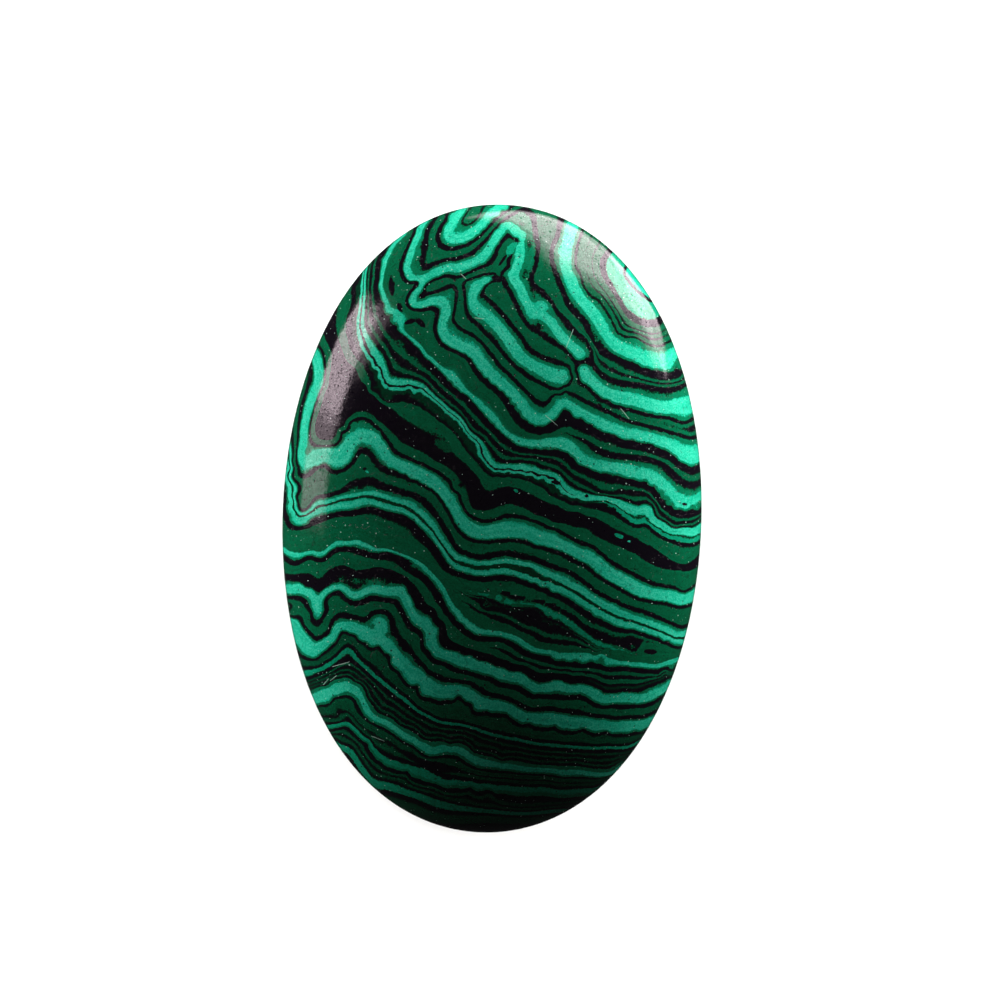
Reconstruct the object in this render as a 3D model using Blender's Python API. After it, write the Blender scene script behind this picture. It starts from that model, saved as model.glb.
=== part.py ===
"""A palm stone: one oval pebble of banded malachite, ground and polished all over.

Run with: blender --background --python part.py

The frame is the stone's own. Z points up out of the broad face, Y runs along the length
and X across the width. The origin is the middle of the small flat that the stone rests on.
All sizes are in metres.
"""

from math import atan2, copysign, cos, hypot, pi, sin

import bmesh
import bpy
from mathutils import Vector

# Driving dimensions.
LENGTH = 0.060
WIDTH = 0.040
THICKNESS = 0.020

# The plan is an ellipse whose radius gains this share on its four shoulders and loses it
# at its ends and sides, as a pebble's does when it is ground by hand from an oval blank.
SHOULDER_FULLNESS = 0.008

# Side view. A point at share s of the way from the middle to the rim stands at height h of
# the half thickness, where s ** FACE_POWER + h ** RIM_POWER = 1. Both would be 2 on an
# ellipsoid: a higher FACE_POWER makes the broad faces flatter and the rim blunter.
FACE_POWER = 2.4
RIM_POWER = 2.0

# The flat that the stone rests on reaches this share of the way to the rim.
FLAT_SHARE = 0.30

# Facets. They are fine enough that the rim departs from its curve by under 0.02 mm.
AROUND = 96
POLE_TO_POLE = 40

# The average colour of the banded surface, as linear light.
STONE_GREEN = (0.011, 0.150, 0.095, 1.0)
STONE_ROUGHNESS = 0.2


def height_share(rim_share):
    """Height over the half thickness at rim_share of the way from the middle to the rim."""
    return (1 - rim_share**FACE_POWER) ** (1 / RIM_POWER)


def outline_point(angle):
    """Point of the plan outline, where angle goes round once from the +X side."""
    fullness = 1 - SHOULDER_FULLNESS * cos(4 * angle)
    widest = 1 - SHOULDER_FULLNESS
    x = WIDTH / 2 * cos(angle) * fullness / widest
    y = LENGTH / 2 * sin(angle) * fullness / widest
    return x, y


def ball_to_stone(point, middle_height, half_above, half_below):
    """Moves a point of the unit ball to the stone's surface."""
    level = hypot(point.x, point.y)
    rim_share = level ** (2 / FACE_POWER)
    rise = copysign(abs(point.z) ** (2 / RIM_POWER), point.z)
    x, y = outline_point(atan2(point.y, point.x))
    half_height = half_above if rise > 0 else half_below
    return Vector((x * rim_share, y * rim_share, middle_height + half_height * rise))


def grind_flat(stone):
    """Cuts off what lies below the surface that the stone rests on, and closes the cut."""
    everything = stone.verts[:] + stone.edges[:] + stone.faces[:]
    cut = bmesh.ops.bisect_plane(
        stone,
        geom=everything,
        plane_co=(0, 0, 0),
        plane_no=(0, 0, 1),
        clear_inner=True,
    )
    rim = [item for item in cut["geom_cut"] if isinstance(item, bmesh.types.BMEdge)]
    bmesh.ops.contextual_create(stone, geom=rim)


def polished_stone():
    """The stone's mesh: a ball drawn out to the stone's form, then ground flat beneath."""
    middle_height = THICKNESS / 2
    half_below = middle_height / height_share(FLAT_SHARE)
    stone = bmesh.new()
    bmesh.ops.create_uvsphere(
        stone, u_segments=AROUND, v_segments=POLE_TO_POLE, radius=1
    )
    for vertex in stone.verts:
        vertex.co = ball_to_stone(vertex.co, middle_height, THICKNESS / 2, half_below)
    grind_flat(stone)
    bmesh.ops.recalc_face_normals(stone, faces=stone.faces)
    mesh = bpy.data.meshes.new("palm_stone")
    stone.to_mesh(mesh)
    stone.free()
    mesh.shade_smooth()
    mesh.set_sharp_from_angle(angle=pi / 12)
    return mesh


def malachite():
    """The plain finish of the solid: polished green stone."""
    finish = bpy.data.materials.new("malachite")
    finish.use_nodes = True
    shader = finish.node_tree.nodes["Principled BSDF"]
    shader.inputs["Base Color"].default_value = STONE_GREEN
    shader.inputs["Roughness"].default_value = STONE_ROUGHNESS
    shader.inputs["Metallic"].default_value = 0.0
    return finish


def main():
    for leftover in list(bpy.data.objects):
        bpy.data.objects.remove(leftover)
    stone = bpy.data.objects.new("palm_stone", polished_stone())
    stone.data.materials.append(malachite())
    bpy.context.scene.collection.objects.link(stone)


main()
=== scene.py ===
"""A palm stone of banded malachite, lying on a pale table and seen from straight above.

The stone is one closed surface worked out from the same formula as its solid. The bands
are the layers of the rock: a height in the rock's own stack of layers is worked out for
every point of the surface, and the finish gives each layer its shade. Sizes are in metres
unless a name says otherwise.
"""

from math import cos, pi, radians, sin

import bpy
import numpy as np
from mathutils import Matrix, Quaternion, Vector


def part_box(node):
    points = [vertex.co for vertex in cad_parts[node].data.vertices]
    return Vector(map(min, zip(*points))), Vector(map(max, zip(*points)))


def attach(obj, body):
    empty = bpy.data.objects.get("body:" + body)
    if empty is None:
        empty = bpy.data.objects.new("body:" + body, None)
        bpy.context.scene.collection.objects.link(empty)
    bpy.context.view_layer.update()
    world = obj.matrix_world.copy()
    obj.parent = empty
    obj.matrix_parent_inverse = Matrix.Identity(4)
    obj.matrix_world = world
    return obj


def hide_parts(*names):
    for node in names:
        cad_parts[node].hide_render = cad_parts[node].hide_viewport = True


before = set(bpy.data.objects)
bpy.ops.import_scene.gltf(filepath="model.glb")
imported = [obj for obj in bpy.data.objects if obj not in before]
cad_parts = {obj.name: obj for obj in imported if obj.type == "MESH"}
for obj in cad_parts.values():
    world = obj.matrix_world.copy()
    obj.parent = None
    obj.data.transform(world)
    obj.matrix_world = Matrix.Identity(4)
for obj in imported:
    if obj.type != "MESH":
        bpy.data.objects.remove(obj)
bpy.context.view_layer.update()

MM = 0.001

_, STONE_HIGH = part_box("palm_stone")

# The stone: the plan's half sizes, the middle height and the curve of its side view.
HALF_WIDTH = STONE_HIGH[0]
HALF_LENGTH = STONE_HIGH[1]
MIDDLE_HEIGHT = STONE_HIGH[2] / 2
SHOULDER_FULLNESS = 0.008
FACE_POWER = 2.4
FLAT_SHARE = 0.30
FLAT_ROUNDING = 0.02 * MM
CELLS_ACROSS = 218

# The photograph: where the stone's outline has its middle, how far its top leans to the
# right, and what one pixel measures on the stone.
PHOTO_SIZE = 1000
OUTLINE_MIDDLE = (492.02, 518.48)
LEAN = radians(2.07)
PIXEL = 0.0955 * MM
CAMERA_HEIGHT = 1.2

# How layers pass a traced line. RIGHT and LEFT say on which hand the deeper layers lie
# when the line is walked from its first point. Along a CREST the layer is folded back on
# itself, with higher layers on both hands, and along a TROUGH with deeper ones. SPOTS are
# single points on one layer.
RIGHT, LEFT, CREST, TROUGH, SPOTS = 1, -1, "crest", "trough", "spots"

# The layers that the face shows, traced along their middles. Each has its height in
# the stack, counted downward in steps of about a millimetre, half its thickness in the same
# steps, the way that the stack runs across it, and points of (x, y, thickness) in pixels.
TRACED_LAYERS = [
    ("pale 1", -2.93, 0.48, RIGHT, [
        (466, 199, 9), (461, 209, 9), (457, 215, 9), (453, 222, 9), (449.5, 228, 9.5), (448.5, 233, 10),
        (451, 237, 10.5), (456.7, 237.7, 10.5), (464.5, 236.5, 10), (470.3, 233.8, 9.5), (476, 230, 9),
        (482, 224.6, 8.5), (486.7, 219.3, 8.5), (491.5, 214, 9), (497.3, 209.7, 9), (504, 205.8, 9),
        (512, 199, 9)]),
    ("pale 2 left", 0, 0.47, RIGHT, [
        (431, 207, 6), (427, 218, 6), (423, 223, 6), (419, 231.5, 6), (415.3, 240.6, 6), (412.4, 248.3, 6),
        (409.5, 256, 6.5), (406.9, 262.8, 7), (406.5, 268.5, 7), (409, 273.5, 7.5), (413.4, 278, 7.5)]),
    ("pale 2 middle", 0, 0.47, CREST, [
        (426.5, 277.5, 7), (432.6, 274, 6.5), (441.3, 270.2, 6), (450, 267.4, 6.2), (458.7, 267.4, 7.5),
        (464.5, 265.4, 7.5), (472.2, 262.8, 6.5), (478, 260, 7), (482.8, 257, 7.5), (486.7, 252.5, 7),
        (489.6, 247.5, 6.5), (493, 242, 7), (496.4, 237, 7.5), (500.2, 231.5, 8), (504.5, 226.5, 8)]),
    ("pale 2 apex", 0, 0.47, CREST, [
        (509, 225.5, 7), (514, 229, 9), (518.5, 233.5, 9)]),
    ("pale 2 right", 0, 0.47, CREST, [
        (521, 238.5, 8), (520.2, 245.9, 8.5), (520, 252.2, 9.5), (519.4, 260, 9), (516.7, 266.5, 9),
        (514, 272.5, 10), (514, 278, 10), (517.5, 283.6, 9), (521, 289.4, 9), (522.8, 295.2, 9),
        (526, 301, 8.5), (529.5, 306.5, 10), (532, 312, 11), (537, 313.6, 9.5), (543.7, 316.3, 8),
        (549.5, 320.8, 8), (555.3, 327.6, 8), (560, 334.5, 8.5), (565.8, 340.7, 8.5), (571.6, 346, 8.5),
        (577.4, 351, 9), (581, 355, 9)]),
    ("pale 6", 0, 0.47, CREST, [
        (583.5, 368, 7), (585, 373, 10), (588.5, 378, 10), (593, 382, 9.5), (597.7, 386.9, 10),
        (604.5, 391.7, 10.5), (613.2, 395.1, 11.4), (622.8, 397.5, 11), (632.5, 399, 11),
        (642.2, 401.8, 11), (651.8, 405, 11.5), (661.5, 406.7, 12), (671.2, 406.7, 13), (679, 406, 16),
        (686, 405.5, 18), (694, 402, 17), (703, 396, 16)]),
    ("pale 3", 0, 0.47, RIGHT, [
        (418.5, 290, 6.5), (414.3, 295, 7), (412.2, 300, 7), (414.5, 304.5, 6.5), (419.5, 305.2, 6),
        (426, 303, 6.5), (434, 300.8, 8), (440.5, 301.3, 9.5), (445, 305.8, 10), (446, 312, 10),
        (443.6, 319, 8.5), (442, 326, 8), (444.6, 333.7, 9.5), (450, 339.5, 10.5), (456.7, 343.4, 10.5),
        (464.5, 347, 11.5), (472.2, 351.3, 12), (478, 357.9, 12), (482.8, 364.6, 12), (489, 372, 12),
        (495.9, 379, 11.6), (503.6, 385.7, 11), (510.6, 391.7, 11), (516.2, 398.3, 11.5), (521.5, 405, 12),
        (526.5, 411, 12), (532.1, 415.9, 11.5), (538, 419.2, 11), (544.2, 419.3, 10.5), (550, 416, 9.5),
        (555, 410.5, 8.5), (560, 405.3, 7.5), (565.5, 403.2, 7), (570, 405.5, 7.5), (574.5, 409.1, 8),
        (581.3, 413.6, 8.5), (589, 417.3, 9), (596.7, 420.7, 10), (603.5, 424.9, 11), (611.2, 427.4, 10),
        (619, 430.4, 9.5), (627.7, 433.5, 9.5), (637.3, 434.7, 10), (647, 436.8, 9.5), (656.7, 439.5, 9.5),
        (666.3, 442.6, 10), (675, 447, 12.5), (682, 451.5, 16), (690, 454.5, 18), (698, 453, 17),
        (706, 449, 16)]),
    ("pale 4", -2.93, 0.48, TROUGH, [
        (489, 279.5, 4), (483, 282, 6), (477.5, 286, 10), (474, 292, 8.5), (472.3, 298, 8), (474, 304, 10),
        (478.5, 309.5, 10), (484.5, 314, 9.5), (490.5, 319, 9.5), (496.5, 325, 9.5), (502, 331, 9.5),
        (507, 337.5, 10), (511.5, 344, 10), (516, 351, 10), (522, 357.5, 9.5), (529, 362.8, 9.5),
        (537, 367, 10), (545, 371, 11), (553, 374.5, 12.5), (560, 376, 12)]),
    ("pale 4 end", -2.45, 0, SPOTS, [
        (566, 369.5, 0), (568.6, 375.5, 0), (565.5, 381.5, 0)]),
    ("pale 5", -2.93, 0.48, RIGHT, [
        (580, 212, 12), (574.5, 222, 12), (569.5, 233.8, 12), (566.8, 245.4, 11.5), (566, 258, 11),
        (566.4, 268.6, 10.5), (569, 276.4, 11), (572.6, 284.1, 11.5), (576.2, 291.8, 11),
        (580.5, 298.6, 10.5), (586.1, 304.9, 10.5), (591.9, 311.2, 10.8), (597, 317.9, 11),
        (601.3, 324.7, 11.6), (604.9, 332.2, 10.5), (609.8, 339, 11), (616.1, 344.3, 11.5),
        (623.8, 349, 12), (631.5, 352.3, 13), (639.3, 355.2, 14), (647, 358.5, 15), (654.2, 360.7, 15.5),
        (661.5, 361, 16.5), (669.2, 359.5, 18), (677, 356.5, 20), (686, 352, 20), (695, 346, 20)]),
    ("black C1", -3.74, 0.08, RIGHT, [
        (580.8, 275.4, 1.5), (582.2, 282.2, 2), (586.1, 289.9, 2.2), (590.9, 295.7, 2.2),
        (598.7, 300.5, 2), (603.5, 307.3, 2), (608.3, 314.1, 2.2), (612.2, 320.8, 2.2), (615.1, 327.6, 2),
        (618.5, 333.5, 1.8), (624, 336.2, 1.6), (630, 337, 1.6), (637, 338, 1.6), (643, 341.5, 1.6),
        (650, 345, 1.8), (659, 345.5, 2), (668, 342, 2), (676, 336, 2)]),
    ("black C1 nest", -3.74, 0.08, RIGHT, [
        (475, 199, 1.3), (472, 206, 1.3), (468, 211, 1.3), (464.5, 216, 1.3), (462.3, 220.3, 1.3),
        (463.5, 224, 1.4), (467.5, 224.6, 1.4), (472.2, 222.7, 1.3), (476, 219.3, 1.3), (479, 215.5, 1.3),
        (481, 211, 1.3), (483.8, 206.5, 1.3), (488, 200, 1.3)]),
    ("black C2", -5.6, 0.25, RIGHT, [
        (614, 243, 6), (609, 252, 6), (604.5, 259, 6), (603, 266, 6), (604.8, 275.4, 5.5), (610, 284.1, 5),
        (615.1, 292.8, 4.6), (619.9, 300.5, 4.6), (624, 308.3, 5), (630, 315, 6), (637.3, 319.9, 7),
        (647, 322.8, 7.5), (656.7, 322.5, 8), (663, 317, 8), (668, 308, 8)]),
    ("black C3", -7.2, 0.08, RIGHT, [
        (626, 266, 1.5), (624.3, 273, 1.8), (627.7, 280, 1.8), (633.5, 287, 1.8), (640.2, 293.8, 1.8),
        (647, 298.6, 1.8), (654, 301, 1.8)]),
    ("black B left", -0.91, 0.19, RIGHT, [
        (438, 207, 4), (436, 217, 4.2), (430.8, 225, 4.5), (427, 233.8, 5.5), (425.3, 243.5, 6.5),
        (424, 253, 5), (422.3, 260.5, 4.5), (424, 266, 4.5), (430.6, 265.5, 4.5), (439.3, 262, 4),
        (449, 259.3, 3.5), (460.6, 257, 3.5), (469.5, 254.1, 3.5), (476.1, 249.5, 3.5),
        (481.9, 243.5, 3.5), (487.7, 237.7, 3.2), (491.5, 233, 3), (497.3, 227.1, 3), (503, 220.8, 3),
        (509, 216.2, 3), (516.5, 212, 3.5), (523, 209.5, 5), (529, 212, 6), (533, 217, 5.5),
        (534.4, 224.2, 4.5), (536, 233.8, 4), (537.7, 243.5, 4), (537.5, 253.2, 4), (536.2, 262.8, 3.8),
        (534.3, 270, 3.8), (531.5, 277.5, 4), (533.1, 284, 5), (538.9, 289.5, 6), (544.7, 294.7, 6),
        (549.5, 299.6, 4.5), (553.4, 304.8, 3.5), (557.3, 311.2, 3.5), (563, 317.5, 4.5),
        (567.7, 323, 5.5), (573, 329, 5.5), (578.4, 334.5, 5), (584.5, 338.5, 4.5), (588.3, 344.3, 4.2),
        (591, 350.6, 4), (591.3, 357, 4.5), (593, 364, 5), (598, 370.5, 5), (603.5, 375.5, 5.5),
        (610.3, 379.8, 6), (618, 382.3, 6), (627.7, 384, 6), (637.3, 385.4, 6), (647, 387, 6),
        (656.7, 389.3, 6.5), (666.3, 390.7, 7), (675, 389.3, 5.5), (684, 385.5, 4.5), (693, 380, 4.5)]),
    ("black B inner upper", -0.91, 0.19, LEFT, [
        (424.5, 288.5, 2.2), (427, 284.5, 2.5), (432.6, 280.2, 2.5), (441.3, 277.4, 2.5),
        (451.9, 276.6, 2.5), (459.5, 277.1, 2.5), (465.4, 275, 2.5), (472.2, 271.4, 2.5),
        (478, 268.6, 2.5), (485.7, 265.5, 3), (491.5, 261.5, 4.5), (495, 256, 4.5), (497.3, 250, 3.5),
        (500.5, 244, 3), (504.5, 238.5, 4), (508.5, 235.5, 4)]),
    ("black B inner right", -0.91, 0.19, LEFT, [
        (518.5, 239, 2), (515.5, 243.5, 2), (514, 249, 2), (511, 255, 2.5), (508.5, 261, 3.5),
        (508.5, 267, 4), (503.5, 271, 2.5), (502, 277, 5), (505, 283.5, 6), (508.3, 289, 4.5),
        (511.3, 295.7, 4), (514.7, 301.5, 3.5), (518.2, 308.8, 3.5), (521.8, 316, 3.5), (527, 323.5, 4),
        (533, 328.8, 5), (540.8, 332.7, 5), (547.6, 337.8, 5), (555.3, 343.4, 5), (561, 346.8, 4.5),
        (565.5, 350.5, 4.5), (570.3, 355.5, 4), (574, 360.5, 4), (576, 366.6, 3.5), (576.6, 373.3, 3.5),
        (578.6, 380.1, 3.5), (582.5, 385, 3.5), (588.5, 387.5, 3.5), (593, 393, 4), (598.9, 398.3, 4),
        (608.3, 402.3, 4), (618, 406.7, 4), (627.7, 409.6, 3.5), (637.3, 412, 3), (647, 414.9, 3),
        (656.7, 416.9, 3), (666.3, 418, 2.8), (676, 420.7, 2.8), (684, 422.6, 3), (691, 420, 3),
        (700, 413, 3)]),
    ("black B inner lower", -0.91, 0.19, RIGHT, [
        (421.5, 296.5, 2.5), (429.7, 292.8, 2.5), (439.3, 290.6, 3), (448, 287, 4), (454, 287, 4.5),
        (456.6, 292.8, 4), (455.8, 302.5, 2.5), (454.5, 311.2, 2.5), (453.3, 318.2, 2.5),
        (456.3, 324.2, 2.5), (461.6, 329.5, 2.8), (468.4, 332.8, 2.8), (475.2, 337, 2.8),
        (481.5, 342.2, 2.8), (487.6, 349.5, 3), (494, 358, 3), (500.5, 366.3, 3), (508.3, 373.8, 3),
        (516, 381.3, 3), (522.7, 388, 3), (528.7, 394, 3), (534.5, 399.5, 4), (540.5, 403.5, 5),
        (546.5, 403, 4), (551, 397.5, 2.5), (556.5, 394, 2.5), (563.9, 391.9, 2.8), (570, 393, 2.8),
        (577.4, 396.7, 3), (585.1, 401.3, 3.5), (592.9, 404.8, 3.2), (601.6, 409, 3), (610.3, 413, 2.8),
        (618, 416.6, 2.8), (627.7, 420.7, 2.8), (637.3, 423.4, 3), (647, 425.9, 3), (656.7, 428.4, 3),
        (666.3, 431.2, 3), (676, 434, 3), (684.7, 436.4, 3.5), (691, 438, 3.5), (700, 435, 3.5)]),
    ("black A nest", -2, 0.2, RIGHT, [
        (457, 203, 4), (452.9, 210.6, 4), (446.1, 219.3, 4.5), (441, 227, 4.5), (438, 236, 5),
        (439.4, 243.5, 5.5), (445.5, 247.8, 5), (453.8, 248.3, 4.5), (463.5, 246.2, 4), (471.2, 242.3, 4),
        (478, 237.5, 4), (483.8, 231.7, 4), (489.6, 225.5, 4), (495.4, 219, 3.8), (502.2, 212.8, 3.8),
        (511.5, 206, 4), (520, 200, 4)]),
    ("black A ridge left", -2, 0.2, RIGHT, [
        (493, 273.5, 1.8), (482.8, 274.6, 1.8), (474.1, 277.3, 2), (466.8, 280.3, 2), (463.2, 285, 3),
        (464.3, 291.8, 3), (465.4, 298.6, 3), (465.5, 306.3, 3), (467.4, 313.1, 3), (471.6, 319.5, 3.5),
        (477.3, 324, 3.5), (482.3, 329.5, 3.8), (487.7, 335.6, 3.8), (494, 341.4, 3.8), (499, 347.2, 3.5),
        (503.1, 353, 3.5), (508.9, 359.8, 3.5), (515.7, 366.8, 3.5), (524.4, 373.8, 3.5),
        (532.1, 378.6, 3.2), (539.9, 382.6, 3), (547.6, 386.2, 3), (554, 388.8, 3), (560.5, 388.8, 3),
        (566, 386, 2.5), (570.6, 381.5, 2.5), (572.5, 375.3, 3), (570, 368.8, 3.5), (565, 364.6, 3.5)]),
    ("black A ridge right", -2, 0.2, LEFT, [
        (497.5, 279.5, 2.5), (491, 281.5, 2.5), (486, 285.5, 3), (483, 291.5, 3.5), (485.5, 297, 3.5),
        (491, 302, 3.8), (496.6, 307.5, 4), (502.2, 313.8, 4), (507.5, 320, 4), (512.5, 326, 4),
        (517.3, 331.8, 3.8), (521.8, 337.6, 3.8), (525.5, 344, 4.2), (530.2, 350, 4.5), (537, 354, 4.5),
        (544.7, 357.6, 4.5), (552.4, 360.5, 4.5), (559, 362.5, 4.5)]),
    ("black A right", -2, 0.2, RIGHT, [
        (564, 208, 8), (561.5, 218, 8), (560, 226, 5), (558, 234, 4.5), (554.8, 241.6, 4.5),
        (552.2, 248.3, 4.5), (551.5, 255.1, 4.5), (552.4, 261.9, 4.5), (554.4, 269.6, 5),
        (557.3, 277.3, 5.5), (560.4, 285, 6), (563.5, 292.8, 5.5), (566.2, 299.6, 5.5), (570, 306, 6),
        (576, 312.5, 7), (582, 319, 7), (587, 326, 7.5), (591, 333, 8), (595.5, 340, 8.5), (600, 347, 8.5),
        (606, 353, 8.5), (613.5, 358, 7.5), (621.5, 362, 8), (629.6, 365.6, 9), (637.3, 368.6, 8.5),
        (645.1, 371.4, 8.5), (652.8, 374, 8.5), (660.5, 375.5, 9), (669.2, 376, 8.5), (676, 374, 8.5),
        (681.5, 368, 8), (687, 360, 8)]),
    ("black D1", 1.02, 0.35, RIGHT, [
        (423, 212, 3), (419, 222, 3), (414.5, 232, 3), (411, 240, 3), (408, 247.5, 3), (404.8, 255, 3.5),
        (402.3, 262, 4), (401.2, 269.5, 4), (403.5, 277, 4), (409.5, 282.5, 3.5), (417, 285.8, 3),
        (411.5, 291, 3), (408, 296.5, 3), (406.6, 302, 3), (410.5, 308, 3), (418, 309.8, 3),
        (427, 308.8, 3.5), (434, 309, 4), (437.5, 313, 4.5), (436.5, 319, 4), (435, 326, 3.5),
        (436.5, 335, 3), (440, 342.5, 2.8), (447, 348, 3), (455.8, 351.6, 3.2), (464, 355.4, 4),
        (469.8, 360.5, 5), (474.1, 367.5, 5.5), (479.5, 374.3, 6), (486, 381, 6), (493.5, 387.6, 6),
        (500, 393.3, 6.5), (506.5, 400.4, 8), (511.8, 408.1, 9.5), (516.6, 415.8, 10), (523.4, 423.4, 9.5),
        (531.5, 429, 9), (540, 430.5, 9), (548, 429, 9), (555.3, 425, 10), (562, 420.5, 13),
        (570, 419.5, 15), (578, 423.5, 13), (588, 428.5, 10.5), (598.7, 434.2, 10), (606, 437.5, 9),
        (614.1, 439.6, 9), (629.6, 444.4, 9.5), (648.9, 448, 9), (660, 452.6, 8), (668.3, 456.3, 7.5),
        (675, 461, 7.5), (680.5, 465.5, 7), (686.6, 469, 7), (693.4, 470.5, 8), (701, 467, 8),
        (708, 462, 8)]),
    ("black D2", 1.92, 0.17, RIGHT, [
        (574, 436.5, 3), (584, 441, 4), (592, 446.5, 5), (598.7, 450.5, 5.5), (608.3, 454.5, 5.5),
        (618, 456, 5.5), (627.7, 457, 5.5), (637.3, 457.9, 5.5), (647, 459.3, 5.5), (656.7, 462, 5.5),
        (664.4, 466.2, 6), (670.2, 471.6, 6), (676, 477.8, 6), (682.5, 482.5, 6), (689.5, 484.8, 6),
        (697.3, 483.8, 6), (705, 479, 6)]),
    ("pale 8", 2.7, 0.33, RIGHT, [
        (402, 236, 3), (396, 242, 3), (391.5, 248, 3.2), (386.3, 258, 3.4), (383.9, 267.7, 2.8),
        (382.3, 275.4, 2.6), (381, 283.1, 3), (382.5, 291.8, 3.6), (384.4, 298.6, 4.5), (387.3, 305.5, 5),
        (391.5, 311, 7), (396.5, 315.5, 11), (400.5, 320.5, 10), (401, 327, 4.5), (405, 333, 2),
        (410, 337.6, 1.8), (415.3, 341.4, 1.8), (420, 346.3, 2), (423.9, 352.1, 2.2), (428.7, 357.2, 3),
        (433, 360.4, 2.4), (437.4, 364.6, 2), (443.2, 369.5, 3.5), (447.5, 372.5, 6.5), (452, 377.2, 8),
        (456.8, 382.6, 8), (461, 387, 6.5), (465, 390.6, 4), (470, 394.5, 3.2), (475, 399, 4.2),
        (479.5, 403, 5.5), (484, 408, 6.5), (488.8, 413.6, 7), (493.5, 418.8, 7), (498.1, 423.8, 6.2),
        (503.1, 429.6, 4.5), (508.9, 434.6, 4.8), (515.7, 439.2, 6), (522.5, 442, 7.2),
        (531.2, 443.2, 8.5), (539.9, 443.8, 9), (548.6, 442.8, 11), (557.3, 442.6, 11.5), (564, 443.4, 12),
        (569.5, 446.4, 11), (574.5, 451, 9.5), (579.5, 456.3, 9.5), (586.6, 460.4, 10.5), (595.3, 464, 11),
        (605, 466, 11), (614.6, 467.6, 11.5), (624.3, 469.7, 12), (633.9, 471.6, 12.5),
        (643.1, 473.7, 12.5), (650.9, 476.6, 12.5), (657.6, 480.3, 13), (663.4, 485.3, 13),
        (668, 491.5, 14), (673, 497.6, 15), (679.4, 501.4, 15), (686.6, 502.7, 14.5), (694.4, 502, 13),
        (701, 499, 13), (709, 493, 13)]),
    ("black D3", 3.6, 0.35, RIGHT, [
        (379.5, 258, 4), (377.5, 270, 5), (376.5, 282, 5), (377, 295, 6.5), (380, 306, 9), (386, 318, 12),
        (393, 330, 13), (402, 341, 12), (411, 349, 10), (419, 356.5, 9), (425.8, 363, 8),
        (431.6, 368.2, 7.5), (437.4, 373.6, 7.5), (443.2, 379.3, 7.5), (449.5, 385.5, 7.5), (456, 391, 7),
        (461.6, 396, 7), (468, 401.3, 7), (474.1, 408.1, 7), (479.9, 414.6, 7), (485.7, 420.7, 7),
        (491.5, 426.7, 7), (497.3, 432.8, 7), (503.1, 438.6, 7), (509.9, 443.8, 7), (516.7, 448.2, 6),
        (526.3, 450.2, 5.5), (536, 451.2, 5), (545.7, 452, 6), (555.3, 452.6, 7), (565, 456, 8),
        (573, 463, 9), (582, 469.5, 8), (592, 474, 8), (605, 477, 8), (618, 479.5, 8), (632, 482, 8),
        (645, 484.8, 8), (652, 489, 8), (658, 495, 8.5), (663.5, 502.5, 8.5), (669, 508.5, 8),
        (677, 513, 8.5), (686.6, 514.3, 8), (695, 512, 8), (703, 507, 8)]),
    ("pale 9", 5.6, 0.48, RIGHT, [
        (371, 254, 3), (367, 263, 3), (364.5, 273, 3.5), (363.5, 282, 4), (363.2, 291, 4.5),
        (362.2, 303, 5), (361, 315, 6), (360.2, 325, 7), (361.7, 333, 9.5), (365, 341.5, 11.5),
        (368.5, 348.5, 13), (372.5, 355, 13.5), (377, 361, 13), (380, 368, 12), (382, 375.5, 11.5),
        (386, 381, 11), (391.5, 384.5, 12), (398, 385.4, 12), (406, 385, 11), (413, 386.4, 11),
        (420, 389, 11.5), (426, 394.5, 10.5), (433, 401.5, 11), (440, 408, 12), (447, 414, 12),
        (455, 420.5, 12), (460.5, 426.5, 11), (465, 433, 10), (470, 438.5, 11), (475, 443.5, 13),
        (480, 449.5, 12.5), (484.5, 455.5, 10), (488, 460.5, 9), (491.8, 465, 9), (497, 468.3, 9),
        (503, 469, 9), (512, 469, 9), (521.5, 469, 10), (529.2, 470.7, 10.5), (536, 473.3, 10),
        (541.8, 475.6, 10), (547.6, 476.8, 11), (552.8, 479.5, 13), (558, 485, 14), (563.5, 489.3, 11.5),
        (569, 491.7, 9), (575, 494.3, 8.5), (581.5, 496.2, 7.5), (590, 497.5, 6), (598.7, 498, 3.5),
        (608.3, 499, 3), (616, 501.5, 5), (623, 505.4, 7.5), (630.5, 509, 9), (637.5, 510.6, 8.5),
        (643.5, 509.8, 9.5), (648.5, 511.3, 9), (651.3, 516.7, 6), (656, 521.7, 5.5), (662.5, 525.2, 5.5),
        (668.3, 529.4, 5.5), (674, 531.5, 5), (681, 531, 5.5), (688, 531.8, 7.5), (695.3, 531, 7),
        (701, 527.5, 7), (708, 521, 7)]),
    ("pale 9 second", 6.32, 0.1, RIGHT, [
        (608, 503, 1.2), (613, 505.4, 1.8), (618, 508.6, 2), (622.8, 512.8, 2), (627.7, 516.7, 2.2),
        (633, 519.8, 2.2), (640.2, 521.8, 2), (647, 522.5, 1.8), (652, 526, 1.8), (657.6, 530.2, 2),
        (664.4, 534.6, 2), (671.2, 538, 2), (678, 539.4, 2.5), (685, 540.4, 2.8), (693.4, 540, 2.8),
        (700, 536.5, 2.8), (707, 530, 2.8)]),
    ("black D4", 6.65, 0.2, RIGHT, [
        (353, 288, 3.5), (353.5, 300, 4), (350, 315, 5), (349, 330, 6), (352, 345, 6), (360, 358, 6.5),
        (366.5, 365, 6), (372, 373, 7), (374.5, 382, 7), (378.5, 391, 6), (387, 397, 10),
        (398, 397, 11), (408, 396.8, 11.5), (416, 399.5, 11), (423, 403.5, 9.5), (430, 408.5, 8),
        (436.5, 414, 6.5), (444, 420.5, 6), (451.9, 426.5, 6), (457.7, 432.3, 6), (462.5, 439.1, 6),
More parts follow.
